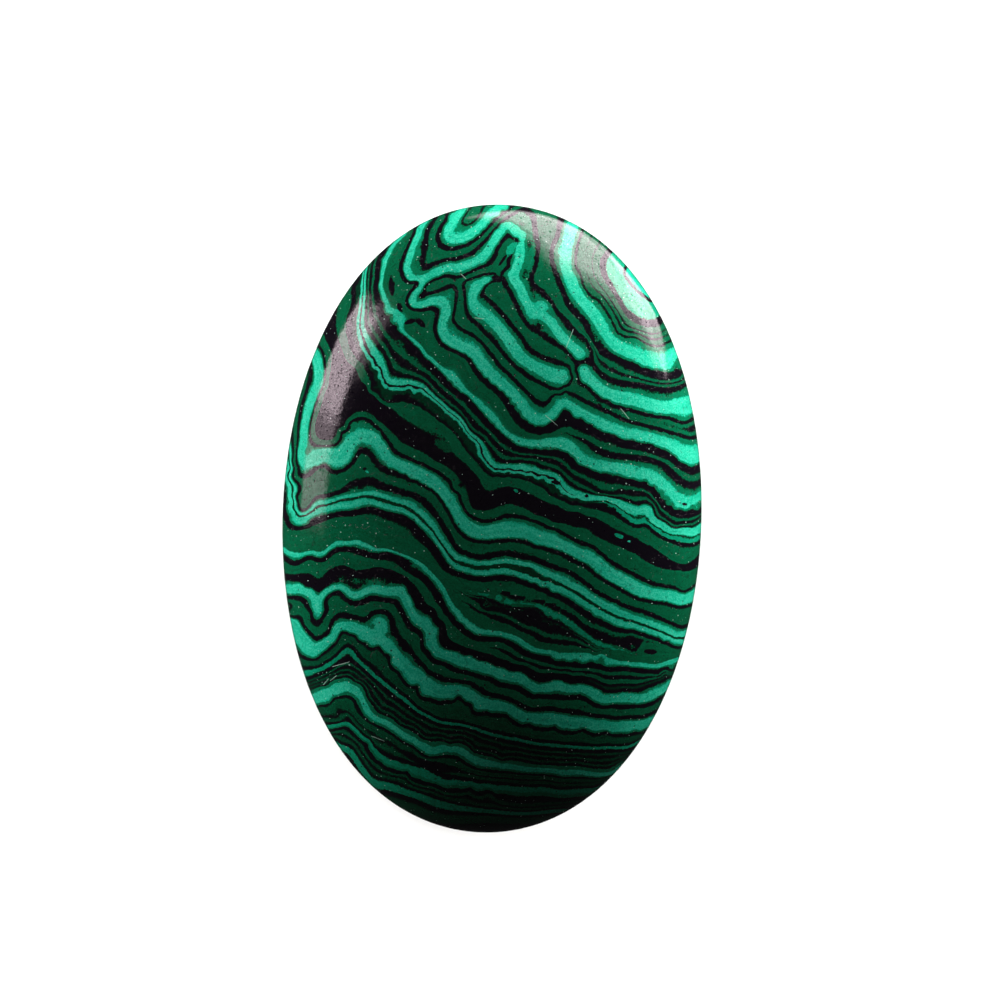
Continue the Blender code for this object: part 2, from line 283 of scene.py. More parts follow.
        (468, 447, 6), (473, 454, 5), (478, 460.5, 4), (483, 467.5, 4), (489, 472.5, 4), (498, 474.6, 3),
        (509, 475, 3), (520, 476.6, 3.5), (531, 479.5, 4), (540, 483, 6), (548, 488, 6.5), (556, 494.5, 6),
        (565, 499, 5.5), (575, 502.5, 6), (588, 505.5, 6), (598, 507, 6), (608, 510.5, 4.5),
        (616, 514.4, 3.5), (623, 519.5, 3), (630, 524, 3), (638, 526.3, 3), (647, 526, 3), (653, 531.5, 3),
        (660, 536.5, 3), (669, 540.5, 3), (679, 544, 4), (689, 544.8, 4), (697, 543.5, 3.5), (704, 538, 3)]),
    ("black W1", 8.7, 0.8, RIGHT, [
       
        (468, 482, 22), (478, 498, 22), (492, 500, 18),
        (508, 495, 17), (525, 500, 16), (540, 508, 16), (556, 514, 17), (575, 519, 15), (590, 523, 13),
        (600, 529, 15.5), (612, 535.5, 14.5), (625, 541, 14), (640, 548.5, 13), (655, 557.5, 14),
        (668, 564, 10), (680, 567, 6.5), (690, 566.5, 7.5), (698, 561, 8), (706, 553, 8)]),
    ("black W1 top", 7.92, 0, SPOTS, [
        (354, 367, 0), (358, 374.5, 0), (363, 382.5, 0), (368, 389, 0), (373, 394.4, 0), (378, 399.6, 0),
        (384, 404, 0), (390, 407.5, 0), (397, 413.5, 0), (404, 419, 0), (411, 424, 0), (418, 429, 0),
        (427, 433.5, 0), (437, 436.5, 0), (444, 441.5, 0), (449, 447.5, 0), (453, 453.5, 0), (459, 459, 0),
        (466, 464, 0)]),
    ("green tail", 6.88, 0, SPOTS, [
        (370, 389.5, 0), (375, 393.6, 0), (380, 398.6, 0), (385.5, 402.4, 0), (391, 403.4, 0)]),
    ("green oval", 7.1, 0, SPOTS, [(363, 372, 0), (366.5, 380, 0)]),
    ("black W1 foot", 9.52, 0, SPOTS, [
        (332, 354, 0), (331, 366, 0), (329, 379, 0), (325, 393, 0), (320.5, 407, 0), (316, 420, 0),
        (315, 431, 0), (320, 439, 0), (329, 440, 0), (337, 433, 0),
        (345, 424.5, 0), (350, 417, 0), (356, 412.5, 0), (363, 411.5, 0), (370, 414, 0), (376, 419, 0),
        (383, 424, 0), (389, 429.5, 0), (395, 435, 0), (400, 441, 0), (408, 445.5, 0), (416, 449.5, 0),
        (424, 453, 0), (431, 458, 0), (438, 462.5, 0), (446, 466, 0), (453, 471, 0), (458, 477.5, 0),
        (462, 485, 0)]),
    ("black D5", 10.6, 0.18, RIGHT, [
        (342, 433, 4), (349, 425, 4), (356, 419.5, 4), (364, 418.5, 4), (371, 421.5, 4), (378, 428, 4),
        (385, 437, 4.5), (391, 446, 4.5), (398, 453, 4), (408, 458, 3.5), (418, 462.5, 3.5),
        (428, 467, 3.5), (438, 472, 3.5), (445, 477.5, 3.5), (451, 484, 3.5), (456, 491.5, 3.5),
        (460, 499.5, 3.2), (464, 508, 3.2), (469.5, 515, 3.2), (477, 519, 3.5), (486, 521, 3.5),
        (495, 519.5, 3), (504, 516.5, 4), (515, 516, 4), (526, 518, 3.5), (536, 521.5, 3.5),
        (545, 525.5, 3.2), (554, 529, 3.2), (562, 532.5, 3.5), (570, 537, 3.5), (579, 541.5, 4),
        (587.5, 544.5, 4), (594.5, 548, 4), (600.5, 553.5, 4), (606.4, 558.3, 4), (612.2, 562.3, 4),
        (619, 566.8, 4), (626.5, 571, 4), (634, 574.8, 4), (641, 578.3, 4), (648, 581.5, 4),
        (656.7, 584.5, 4), (666.3, 586.6, 3.5), (674, 588, 3.5), (680, 591, 3), (685, 592, 3),
        (690.5, 589, 3.2), (698, 584, 3.2)]),
    ("pale 10 left limb", 11.55, 0.55, RIGHT, [
        (309, 344, 8), (313.5, 352, 9), (317.3, 361, 9), (319, 371, 9), (318.6, 380, 9), (315.5, 389, 8.5),
        (311.5, 399, 8), (308.3, 409, 8), (305.8, 420, 7.5), (304.2, 431, 7.5), (303.6, 442, 8)]),
    ("pale 10", 11.55, 0.55, RIGHT, [
        (306.5, 460.5, 15), (316, 457.5, 16), (325, 455.5, 15), (333.5, 457.3, 18), (341, 456, 18),
        (346.5, 448.5, 14), (350.5, 442, 13), (356, 437.3, 13), (364, 435.5, 13.5), (370.5, 437.3, 13.5),
        (376, 441.3, 12.5), (380.5, 446.5, 11), (384.5, 452.5, 10), (389.2, 458.8, 9.5), (396, 463.3, 11),
        (403.2, 466.7, 11.5), (411, 470, 12), (418.2, 473.4, 13), (426.3, 477.6, 13), (433, 481.7, 12.5),
        (438.6, 486, 11.5), (443.2, 491, 10.5), (447.5, 496.8, 10), (451.6, 503, 10), (455.8, 509.9, 10),
        (459.1, 516.4, 10.5), (463.2, 522.3, 11.5), (468.3, 527.2, 12), (474.6, 530.8, 12.3),
        (481.9, 532.4, 12.5), (490.6, 531.9, 13), (499.7, 530.2, 14.8), (508.9, 529.3, 15.5),
        (518.2, 529.8, 14.8), (526.3, 531.9, 14), (534.1, 535, 13.2), (541.3, 538, 13), (549.5, 540, 13),
        (557, 542.6, 11.5), (564, 545.6, 10), (571.6, 549.4, 10), (577.7, 552.7, 10), (584.2, 555.2, 11.5),
        (590.7, 558.2, 12.5), (596.5, 562.3, 13), (601.8, 567.2, 13), (607.4, 571.9, 12.5),
        (613.6, 575.7, 12.3), (620.5, 578.9, 12.8), (628, 583, 13), (636.4, 588, 12.5), (644.1, 591.6, 12),
        (652.8, 593.8, 11), (661.5, 594.8, 11), (669.2, 595.7, 11), (676, 597.8, 12), (682.5, 598.8, 11.5),
        (690, 597.6, 12), (698, 593, 12), (706, 586, 12)]),
    ("black E1", 12.4, 0.16, RIGHT, [
        (296.5, 462, 3), (299.5, 474, 4), (306, 476, 4), (311.9, 471.8, 3.5), (317, 467.8, 3.5),
        (323.5, 465.3, 3.5), (328.3, 468.5, 3.5), (334, 471.8, 3.5), (341.9, 470.7, 3.2),
        (348.7, 466.6, 3.2), (354, 461, 3.5), (357.6, 454.5, 4), (362.5, 450.5, 5), (368.5, 452.5, 5),
        (373.7, 459.6, 5), (379, 466, 5.5), (386.5, 470.5, 6), (395.5, 473.4, 5.5), (405.7, 476.6, 4.5),
        (415.3, 481, 3.5), (424, 485.5, 3), (431.5, 489.8, 3), (437.5, 495, 3), (442.5, 502, 3),
        (447.5, 510.5, 3), (451.8, 518.7, 3), (456, 527, 3), (461.5, 533.5, 3), (470, 539, 3),
        (480, 541.6, 3), (490.5, 541.8, 3), (500, 540.4, 3), (510, 540, 3), (520, 541.2, 3.5),
        (530, 543.7, 4), (540, 547, 4), (550, 550.3, 4), (560, 553.2, 4), (567, 557, 4), (574, 561, 4),
        (582, 564, 4), (588.5, 568, 4), (594, 573, 4), (600, 577.8, 3.5), (607, 581.5, 3.5),
        (614, 585.3, 3.5), (621, 589.3, 3.5), (628, 593.3, 3.5), (635, 597, 3.5), (643, 599.8, 3.5),
        (651.8, 601.6, 3.2), (661.5, 603, 3), (669.2, 604.8, 3), (676, 606.5, 3), (684, 606.8, 3),
        (692, 604, 3), (700, 598, 3)]),
    ("black E2", 13.3, 0.22, RIGHT, [
        (294.5, 480, 3), (296.5, 497, 3), (299, 507, 2.8), (304, 510.3, 2.8), (309, 507, 2.8),
        (313, 501, 2.8), (317.5, 497.3, 3.2), (325, 496, 4), (333, 493.6, 4), (341, 491, 4),
        (348.5, 486.8, 5.5), (355, 483.5, 7.5), (364, 482, 8.5), (373, 482, 8.5), (382, 485.8, 8),
        (391.2, 488.9, 7), (400.8, 491.8, 6), (410.5, 494.7, 6), (419, 498.3, 6), (426, 503.3, 6),
        (432, 510, 6), (437.4, 517, 5.5), (442.2, 524.4, 5.5), (447, 532, 5.5), (451.2, 539.5, 5.5),
        (455.5, 547, 5.5), (461, 552.3, 5.5), (468.5, 554.9, 5.5), (477, 556.8, 6), (486, 556.5, 6),
        (495, 554.5, 5.5), (504, 553.2, 5.5), (512.8, 554, 5.5), (521.5, 555.6, 5.5), (531.2, 558, 5.5),
        (540.8, 561.5, 5), (550.5, 565.5, 4.5), (560, 569, 4), (569, 572, 4), (578, 577.5, 4),
        (586.5, 584, 4), (594, 590.3, 4), (602, 595, 4), (611, 600, 4), (621, 604.6, 3.8),
        (632, 608.4, 3.5), (642, 611, 3.5), (652, 614.8, 3.5), (661.5, 619.2, 3.2), (669, 622.4, 3.2),
        (676, 625.3, 3.5), (685, 626.5, 3.5), (694, 622, 3.5)]),
    ("pale 11a", 13.98, 0.24, RIGHT, [
        (291.2, 470, 2.4), (292.4, 482, 2.5), (294, 495, 2.6), (295.8, 507.5, 3), (299, 513.3, 3),
        (305.3, 513.3, 3), (310.8, 509.7, 3), (314.6, 505.3, 3.6), (320.6, 502.4, 4.3), (327.4, 502.4, 4),
        (334.1, 500.3, 3.5), (339.9, 498, 2.6), (347.7, 496.4, 2.5), (355.4, 495.2, 2.6),
        (362.2, 493.6, 3), (369.9, 493.1, 4), (377.6, 494.2, 4.3), (385.4, 496.5, 4.4),
        (393.1, 499.2, 4.4), (400.8, 501, 4.6), (408.6, 503.2, 5), (414.4, 506.8, 5.6), (419.6, 510.8, 6),
        (424.6, 515.6, 6), (429.6, 521.3, 6), (434.4, 527.2, 5.8), (438.4, 533, 5.5), (442.2, 538.9, 5.4),
        (446.1, 544.7, 5), (450, 550.3, 5), (454.4, 554.8, 5.4), (459.9, 558, 5.4), (466.6, 560.3, 5),
        (474.4, 562, 4), (482.8, 562.8, 3.3), (492.5, 562.4, 3), (502.2, 561.3, 3), (511.8, 561.7, 3),
        (521.5, 563.2, 3.4), (529.4, 565, 4), (536, 567.6, 4.8), (541.8, 570.8, 5.6), (548, 573.9, 6.2),
        (555.3, 576.7, 6.5), (562, 579.4, 6.7), (568, 582.8, 6.8), (574, 586, 6.8), (579.8, 589.2, 7.2),
        (585.4, 592.8, 7), (591, 596.7, 6.6), (596.8, 600.4, 7), (602.6, 603.7, 7.8), (609, 606.8, 8.2),
        (615, 610.2, 8.2), (621, 613.4, 7.5), (628, 616.4, 6.6), (637, 618.9, 5.6), (645, 621.6, 5.4),
        (653, 624.7, 5.6), (661, 627.6, 6), (669, 631.2, 6.4), (676, 634.3, 6.4), (683, 634.3, 6.6),
        (691, 630.5, 6.6), (699, 625, 6.6)]),
    ("pale 11b", 14.85, 0.28, RIGHT, [
        (286.8, 455, 3), (288.3, 469, 3.2), (289.5, 486.7, 3.6), (290.9, 500.3, 4.2), (292.4, 512, 5.5),
        (295.3, 518.6, 7), (300.5, 521, 7.6), (306.1, 519.2, 7), (311, 515.6, 4.6), (318, 511.6, 6.2),
        (325.4, 509.7, 7), (332.2, 507.8, 7.4), (339, 506, 8), (347.7, 505, 8.2), (355.4, 503.8, 7.8),
        (362.2, 501.6, 7), (369.9, 501.2, 6), (377.6, 503, 5.2), (385.4, 505.8, 5), (393.1, 507.7, 4.5),
        (399.9, 509.3, 4.2), (406.6, 512, 3.8), (412.6, 516, 3.2), (418.6, 521.5, 3.2), (425, 527.3, 3.2),
        (430.8, 532.6, 3.2), (435.3, 538.9, 3), (439.3, 544.7, 3), (443.2, 550.5, 3), (447, 556.5, 3.2),
        (450.6, 561.8, 3.6), (455.8, 565.8, 4.2), (462, 568.2, 4.3), (468.5, 570.4, 4.5),
        (475.1, 572.2, 4.6), (482.8, 572.7, 4.6), (491.5, 571.8, 4.6), (500.2, 571.2, 4.6),
        (508.9, 571.9, 4.5), (516.7, 573.7, 4.2), (524.4, 576.4, 4.2), (531.6, 579.3, 4.4),
        (538.9, 581.7, 5), (545.7, 583.7, 6), (552.4, 586.8, 7), (559.2, 589.1, 7), (565.8, 592, 6.5),
        (572, 595.4, 6), (577.6, 599, 5.8), (583.4, 602.8, 5.8), (589, 606.7, 6.2), (594.8, 610, 6.6),
        (600.8, 613.7, 7), (607.6, 617.2, 7.2), (614.6, 620.4, 7.2), (621, 622.6, 7), (628, 624.5, 6.6),
        (636, 626.2, 5.8), (643.5, 628.8, 5.8), (650.5, 631.6, 5.8), (658, 634.4, 6), (665.4, 638, 6.4),
        (673, 641.4, 6.6), (681, 642, 6.6), (690, 639.3, 6.6), (699, 634, 6.6)]),
    ("black D7", 15.65, 0.3, RIGHT, [
        (284, 508, 4), (287, 521, 5), (291.6, 527.2, 5), (298.4, 528.3, 4), (304.2, 527.3, 4),
        (310.5, 523.5, 6.5), (316.8, 519.9, 8), (323.6, 517.3, 7), (331, 515, 6), (338.5, 513.7, 6),
        (346.5, 513.5, 6), (355, 512.3, 7), (362.5, 510.6, 7), (370.9, 510.2, 8), (378.6, 512, 8),
        (386.3, 514.8, 8), (396, 517.4, 9), (404.7, 520.6, 9.5), (411.4, 525.4, 10), (418, 533, 11),
        (424.5, 539.5, 10), (430, 545, 9.5), (436, 552.5, 9.5), (441, 560, 9.5), (446, 567, 9),
        (452.5, 572, 6.5), (461, 575, 5.5), (471, 577.7, 5.5), (482, 578.5, 5.5), (493, 577.7, 5.5),
        (504, 577.4, 6), (515, 579, 6), (525, 582.5, 6), (536, 586, 6), (546.5, 590, 5.5),
        (556.5, 595.3, 5.5), (565, 599.6, 6), (573, 604.3, 6.5), (580.5, 609.5, 7), (588.5, 614.6, 7.5),
        (597.5, 620.2, 7), (606.4, 625, 6), (615.1, 628.6, 5), (624.5, 630.6, 4), (634.5, 631.4, 4),
        (643.2, 634, 4), (650.9, 636.9, 4), (657.7, 639, 4), (665.4, 642.5, 4), (672, 645.8, 4),
        (679.5, 647.4, 4), (688, 645, 4), (697, 640, 4)]),
    ("black lens", 16.4, 0.2, RIGHT, [
        (584, 626.5, 4), (592, 631.5, 7), (600, 636, 8), (610, 640, 8), (620, 643.5, 8), (630, 647.5, 7),
        (634, 650.5, 5)]),
    ("pale 11c", 16.9, 0.15, RIGHT, [
        (483, 594, 1), (489, 595, 2.4), (496, 596.6, 3.4), (503, 599.4, 3.4), (510, 602, 3.4),
        (518, 603.8, 3.2), (526, 604, 2.4), (534, 604.8, 1.6), (541.5, 607.5, 2.4), (548.5, 611.6, 4.2),
        (555, 615, 4.5), (561, 617.4, 4), (566, 620.6, 4), (571.8, 624.8, 4), (577.6, 629.4, 3.8),
        (583.2, 633.8, 3.2), (588.5, 637.4, 1.6), (593.5, 641, 2.2), (599, 644.4, 3.6),
        (605.6, 646.6, 3.8), (612.2, 648.2, 4), (618.5, 649.4, 3.2), (624, 650.6, 1.2)]),
    ("black W2", 17.7, 0.35, RIGHT, [
        (485, 611, 6), (497, 613, 11), (510, 617.5, 12), (523, 623.5, 13), (536, 629, 14),
        (549, 634.5, 15), (562, 637, 14), (575, 640, 9), (587, 645.5, 6), (598, 650, 5), (608, 652, 5),
        (620, 654.2, 5)]),
    ("pale 12", 19, 0.25, RIGHT, [
        (277, 544, 3), (283.9, 549.4, 3.5), (289.7, 553.2, 4), (297.4, 554.8, 4), (305.1, 553.3, 2.8),
        (311.9, 552.3, 3), (320, 554, 4), (326.4, 550.4, 3.2), (332.2, 545.9, 3.5), (337.4, 542.8, 3.8),
        (343.5, 542.6, 3.6), (350.6, 542.7, 3.2), (357, 541.8, 4), (363.1, 543.9, 4), (368.9, 546.2, 4),
        (374.5, 548.9, 2.4), (381, 549, 1.4), (389, 550, 1), (397, 552.5, 0.7), (405, 555.5, 0.8),
        (411, 558.3, 2), (415.5, 561, 3.8), (420, 564, 4.2), (424.8, 567.9, 4.4), (429.7, 573, 4.6),
        (434, 577.6, 4.8), (438.4, 582.4, 4.8), (442.2, 588, 4.6), (446, 595, 4.2), (449.2, 601.5, 4.4),
        (453.2, 607.8, 5), (458.7, 614.2, 6), (464.5, 620.3, 6.4), (470.3, 625.9, 7), (476.3, 630, 6.2),
        (482.4, 631.6, 5), (489.6, 632.2, 4.4), (497.3, 633.2, 4.2), (505.1, 634.9, 4.4),
        (512.6, 637, 4.7), (518.6, 640, 5), (524.8, 644.3, 5), (531.4, 648.2, 4.5), (539, 650.7, 4),
        (546.7, 651.7, 4.2), (553.6, 653.8, 5.4), (560, 656, 6.6), (569.7, 657, 7.6), (579.3, 656.6, 8),
        (589, 656.5, 8.2), (597.7, 657.6, 8.6), (605, 659.4, 8.6), (611.6, 661.4, 6.2), (618, 662.4, 4),
        (627.7, 663.1, 3.6), (637.3, 664, 3.8), (647, 665.1, 3.2), (655, 665.6, 3), (662.5, 664.4, 3.6),
        (670.2, 662.2, 4.2), (677, 659.6, 4), (685, 655, 4)]),
    ("black D8", 19.75, 0.3, RIGHT, [
        (283.5, 556.5, 4), (290, 562, 5), (297.5, 563, 5), (304, 559.8, 4), (311, 557.8, 4),
        (319, 560.4, 4.5), (327.5, 557, 4.5), (334, 551.3, 5), (342, 549, 5), (350, 549.6, 5.5),
        (360, 552.2, 5.5), (370, 555, 5.5), (380, 556.5, 7), (391, 557.2, 9), (401, 561.5, 10),
        (409, 568, 10), (417, 573, 9), (425, 579, 8), (431, 586, 8), (436.5, 594, 8), (441, 602.5, 8),
        (446, 611, 7.5), (452.5, 618.5, 7), (460, 626, 7), (468, 633.3, 7), (477, 638, 6), (489, 639, 5.5),
        (500, 639.3, 5), (508.5, 642.3, 5), (517, 648, 6), (527, 654, 6.5), (538, 657, 6.5),
        (550, 660, 7.5), (562, 663.3, 7), (576, 664.5, 7), (590, 664.7, 7), (602, 667, 6), (614, 669, 5),
        (630, 669.5, 4.5), (645, 671, 5), (658, 671.5, 6), (669, 669.5, 6), (678, 666, 6)]),
    ("black W3", 21.9, 0.46, RIGHT, [
        (282, 576, 6), (291, 577.5, 6), (300, 577.8, 8), (309, 581, 13), (318, 587, 14), (327, 580, 10),
        (335, 573.5, 12), (345, 571.5, 11), (356, 574, 7), (368, 573.5, 9), (380, 572.5, 11),
        (392, 575.5, 11), (402, 579.5, 10), (411, 588, 10), (418, 599, 10), (424, 607.5, 9), (432, 612, 9),
        (440, 624, 9), (443, 637, 9), (453, 646, 8), (467, 652, 8), (482, 656.5, 8), (497, 662, 8),
        (512, 667.5, 8), (526, 670, 7), (538, 677, 8), (551, 676.5, 8), (565, 677.5, 8), (580, 679, 7),
        (592, 682, 8), (604, 688.5, 9), (618, 688.5, 9), (633, 688, 8), (646, 685, 6), (658, 681, 5),
        (669, 676, 5)]),
    ("pale 13", 23, 0.45, RIGHT, [
        (276, 586.5, 8), (284, 588.3, 8.5), (291.6, 589.2, 8.8), (301, 589.2, 8.5), (308, 592, 8),
        (313, 596.2, 7.5)]),
    ("pale 13 second", 23, 0.45, RIGHT, [
        (321.8, 596, 6), (325.4, 592, 5), (331.2, 588.6, 4.2), (337.5, 586.7, 4), (343.5, 588.3, 4.5),
        (348.4, 592, 6), (353.4, 595, 6.5), (359, 594.6, 6.5), (365, 591.4, 6.5), (371, 589.2, 7),
        (378, 589.2, 8), (385, 591, 8.5), (392, 591.3, 9), (398, 591, 9.5), (402.8, 593.6, 9.5),
        (406, 599.5, 8.5), (409.2, 607, 7.5), (413.2, 614.3, 7.5), (418.5, 620.3, 9.5), (425.3, 623.2, 12),
        (430.5, 629, 12.5), (430.6, 636.5, 12.2), (431.8, 643.6, 11), (436.3, 650.6, 9.2),
        (443.2, 654.4, 8.6), (450, 656.3, 9.6), (457.2, 658.7, 11.5), (464.9, 661.3, 11.8),
        (472.2, 664, 11), (479.9, 666.4, 10), (488.6, 669, 10.2), (497.3, 672.3, 10), (505.6, 675.2, 9.5),
        (514.2, 677, 9.3), (521, 678.3, 9.3), (526, 681.8, 8.2), (531.4, 685.6, 7.6), (537.9, 688.2, 8.2),
        (545.2, 687.9, 8.2), (553.4, 685.9, 9.6), (560.2, 686, 9), (567, 688.2, 7.8), (574, 689, 6.6),
        (581, 688.7, 7), (588, 690.5, 8.8), (594, 693.8, 9.6), (600.6, 697, 9.8), (607.4, 698.8, 8.8),
        (614, 698.2, 8), (621, 697.6, 8.6), (629, 698, 8.8), (637, 698.8, 8.2), (644, 698, 7.4),
        (649.5, 695.8, 8.6), (656, 693, 8.4), (662, 690, 7), (669, 685.5, 6.5), (677, 679, 6.5)]),
    ("saddle", -0.91, 0, SPOTS, [(579, 363.3, 0), (583, 361.6, 0), (587, 359.6, 0)]),
    ("spur", -0.25, 0, SPOTS, [(535, 305.6, 0), (540, 306.6, 0), (545, 307.2, 0)]),
    ("knob neck", 25.85, 0, SPOTS, [(375.5, 630.5, 0), (379.5, 631.5, 0), (383.5, 631.5, 0)]),
    ("drop edge", 23.45, 0, SPOTS, [
        (311.3, 601, 0), (312.2, 608, 0), (313.8, 613.5, 0), (317.3, 616.6, 0), (320.8, 613.5, 0),
        (322, 608, 0), (321.9, 603, 0)]),
    ("drop core", 23.1, 0, SPOTS, [
        (317, 611, 0), (317, 603, 0)]),
    ("black E5", 23.95, 0.24, RIGHT, [
        (287, 597, 4), (303, 600.3, 5), (311.5, 614, 5), (323.3, 617, 3.5), (326.3, 599.5, 3.8),
        (337.5, 592.7, 5), (348.6, 601, 5), (363, 602, 5), (378.5, 598.5, 5), (394.5, 601.3, 6),
        (402.5, 613, 6), (412, 627.5, 6), (422.3, 638, 5), (428.5, 654.4, 5), (446, 664.5, 4.5),
        (467, 672.3, 5), (491, 679, 5), (515, 687, 5), (538, 696, 5), (564, 697.5, 4.5), (588, 700.3, 5),
        (611, 706, 4), (637, 706, 4), (659, 698.5, 4), (668, 693, 4)]),
    ("black F5", 25, 0.2, RIGHT, [
        (288, 611.5, 3), (304, 626, 3), (316, 638.8, 5), (328.5, 631, 3.5), (336.5, 616.6, 4),
        (352.5, 616.6, 5), (366.5, 619, 5), (379, 611.4, 4.5), (392, 621, 6.5), (399, 637, 5.5),
        (413, 654, 4), (428.5, 672, 5), (448, 680, 5), (468.5, 682.5, 4), (489, 694, 4), (513, 701, 4),
        (535, 709.6, 4), (561, 711, 4), (587, 714.3, 4), (616, 718, 3.5), (644, 716.5, 3.5),
        (654, 712.5, 3.5)]),
    ("pale 14", 25.95, 0.55, RIGHT, [
        (285, 611, 8), (291.4, 622, 9), (297.4, 632.3, 12), (303.2, 641.2, 14), (309, 647.6, 14),
        (315, 649.6, 13), (320.8, 646.4, 9.5), (326.4, 642, 7.6), (332.5, 637.2, 7), (336, 630.6, 7),
        (340.8, 626.4, 7.8), (347.7, 626, 8.4), (354.4, 628, 10.4), (361.2, 631.4, 12), (366.8, 634.2, 13),
        (372.5, 637, 17), (379.5, 638, 13.5), (385.6, 642.6, 11), (391, 648.8, 10.5), (396, 655.8, 11),
        (400.8, 662.3, 13), (406.6, 668.4, 14.5), (412.4, 673.3, 15.5), (419, 678.8, 16), (426, 685, 16.5),
        (434, 689.6, 14.5), (443, 691.8, 13), (451, 691.6, 13.5), (458, 690, 9.5), (464, 691.6, 9.5),
        (470.5, 696, 11), (477, 700.6, 12), (484, 703.8, 11.5), (491, 705.2, 10.3), (498, 705.6, 10.2),
        (505, 707.2, 9), (512, 710.5, 9), (519, 714.6, 9.8), (526, 717.4, 9), (534, 718.6, 9.8),
        (543, 718.7, 10.8), (552, 719, 12), (560, 720.5, 13), (569, 722, 11.8), (579.5, 723, 10.7),
        (590, 724, 10.4), (600, 725.2, 10.3), (610, 726.1, 10.3), (620, 726.2, 10.1), (630, 726.2, 10),
        (640, 725.5, 9.7), (648, 723.6, 9.6), (656, 720, 9.5), (664, 715, 9)]),
    ("knob edge", 25.4, 0, SPOTS, [
        (371, 624, 0), (373, 619.5, 0), (379.5, 617.2, 0), (385.8, 620, 0), (388, 626, 0), (385.5, 632, 0)]),
    ("knob core", 25.7, 0, SPOTS, [
        (379.5, 625.5, 0)]),
    ("black E6", 26.95, 0.19, RIGHT, [
        (296, 650, 3.5), (310, 659.3, 3), (323.5, 653.5, 3), (334, 645.3, 3), (341.5, 632.8, 3.5),
        (355, 636.3, 3), (366.5, 645.3, 3.5), (379, 648, 3.5), (389.5, 659, 4.5), (400, 674.6, 4),
        (414, 686.6, 4), (430, 699.3, 5), (447.5, 701.4, 4), (459, 697, 4), (471, 706, 4.5),
        (488, 713, 4), (507.5, 716.3, 4), (528, 725, 4), (554, 727.8, 4), (580, 730.6, 3.5),
        (608, 733.6, 3.5), (637, 733, 4), (648, 730.5, 4)]),
    ("pale 15", 28.3, 0.16, RIGHT, [
        (297, 675, 7), (303, 674, 7), (310.9, 672.4, 6), (318.5, 670, 4.2), (323.7, 667.6, 4.4),
        (330.1, 663.9, 4.4), (335.1, 660.2, 4), (339.9, 655.8, 4.6), (344.7, 651.7, 5), (349, 650.6, 5.2),
        (352.5, 653.6, 4.4), (357.1, 659.5, 3.6), (363.1, 665, 3.5), (368.9, 670.5, 3.6),
        (374.7, 675.6, 3.6), (380.7, 680.6, 3.6), (387.3, 686.2, 3.6), (394.1, 691.6, 3.6),
        (400.4, 696.6, 3.5), (406.6, 701.6, 3.4), (412.6, 706.6, 3.2), (419.6, 711.4, 3),
        (427.7, 715.6, 2.8), (435.5, 720, 2.6), (443.2, 722.6, 2.4), (450.9, 723.5, 2.4),
        (458.7, 724.4, 2.4), (466.4, 726, 2.4), (474.1, 728.2, 2.5), (481.9, 731, 2.6),
        (489.6, 733.6, 2.6), (497.3, 735.7, 2.8), (507, 737.7, 3), (516.7, 739.2, 3), (526.3, 741.5, 3),
        (536, 743.3, 3), (545.7, 744.5, 3), (555.3, 745.4, 3), (565, 746.2, 3), (579.3, 747.2, 3),
        (589, 747.8, 3), (598.7, 748, 2.8), (608.3, 747.5, 2.8), (618, 747.9, 3), (627.7, 747.2, 3),
        (634.5, 744.3, 2.8), (642, 740, 2.8)]),
    ("black F7", 29.8, 0.25, RIGHT, [
        (305, 691, 6), (325, 684, 5), (342, 675.5, 5), (356, 680.5, 5), (368.5, 695, 6), (381, 711, 6),
        (401, 723.5, 6), (424, 737.5, 5), (450, 741.5, 5), (474, 750, 5), (500, 758, 5)]),
    ("pale 16", 30.8, 0.33, RIGHT, [
        (307, 703, 11), (313.8, 699.4, 11), (320.5, 696.8, 11.5), (327.4, 693.8, 12), (334, 690.2, 10.5),
        (340.9, 687.4, 10), (347.7, 686.4, 9.5), (353.5, 689, 8.3), (358.4, 693.4, 7.2), (362, 699, 6.2),
        (365, 705.6, 5.8), (368.6, 711.8, 5.7), (373, 716.6, 5.6), (379, 719.9, 5.2), (385.4, 722.4, 5.2),
        (391.2, 725.7, 5.4), (396.3, 729.7, 5.6), (402, 733.7, 5.8), (408.6, 737.4, 6),
        (415.3, 741.2, 6.2), (421.5, 745.3, 7), (427.5, 748.8, 8), (433, 750.4, 7.8), (439.5, 749.4, 7.2),
        (446, 748.4, 6.4), (453.8, 748.9, 6), (461, 751, 6.4), (467.2, 754.7, 6.8), (473, 758.6, 6.8),
        (480, 761.6, 6.8), (488.6, 763.3, 6.4), (497.3, 764.7, 5.8), (507, 766.2, 5.4), (516.7, 767.6, 5),
        (526.3, 768.9, 4.6), (536, 769.7, 4.2), (545.7, 770.2, 4.2), (555.3, 771.2, 4.6), (562, 772.3, 5),
        (569.7, 772, 5.2), (579.3, 772.3, 5), (589, 773.6, 4.2), (598.7, 774.6, 4), (606.4, 774, 3.6),
        (614.1, 771.3, 3.2), (622, 766, 3)]),
    ("black E8", 31.6, 0.22, RIGHT, [
        (318, 707.5, 4), (335, 699.5, 4), (350.5, 699, 6), (359, 713, 6), (374.5, 726, 4), (393, 736, 4),
        (413, 748, 4), (433.5, 758.5, 5), (458, 759.5, 6), (479, 770, 4), (492, 772, 4)]),
    ("black G8", 32.3, 0.2, RIGHT, [
        (322, 718, 5), (347, 713.5, 4), (352, 717, 3)]),
    ("pale 17", 33.1, 0.24, RIGHT, [
        (315, 727, 3), (322.5, 726.1, 3), (332.2, 725.9, 2.5), (338, 724.7, 2.2), (343.8, 723.5, 2.2),
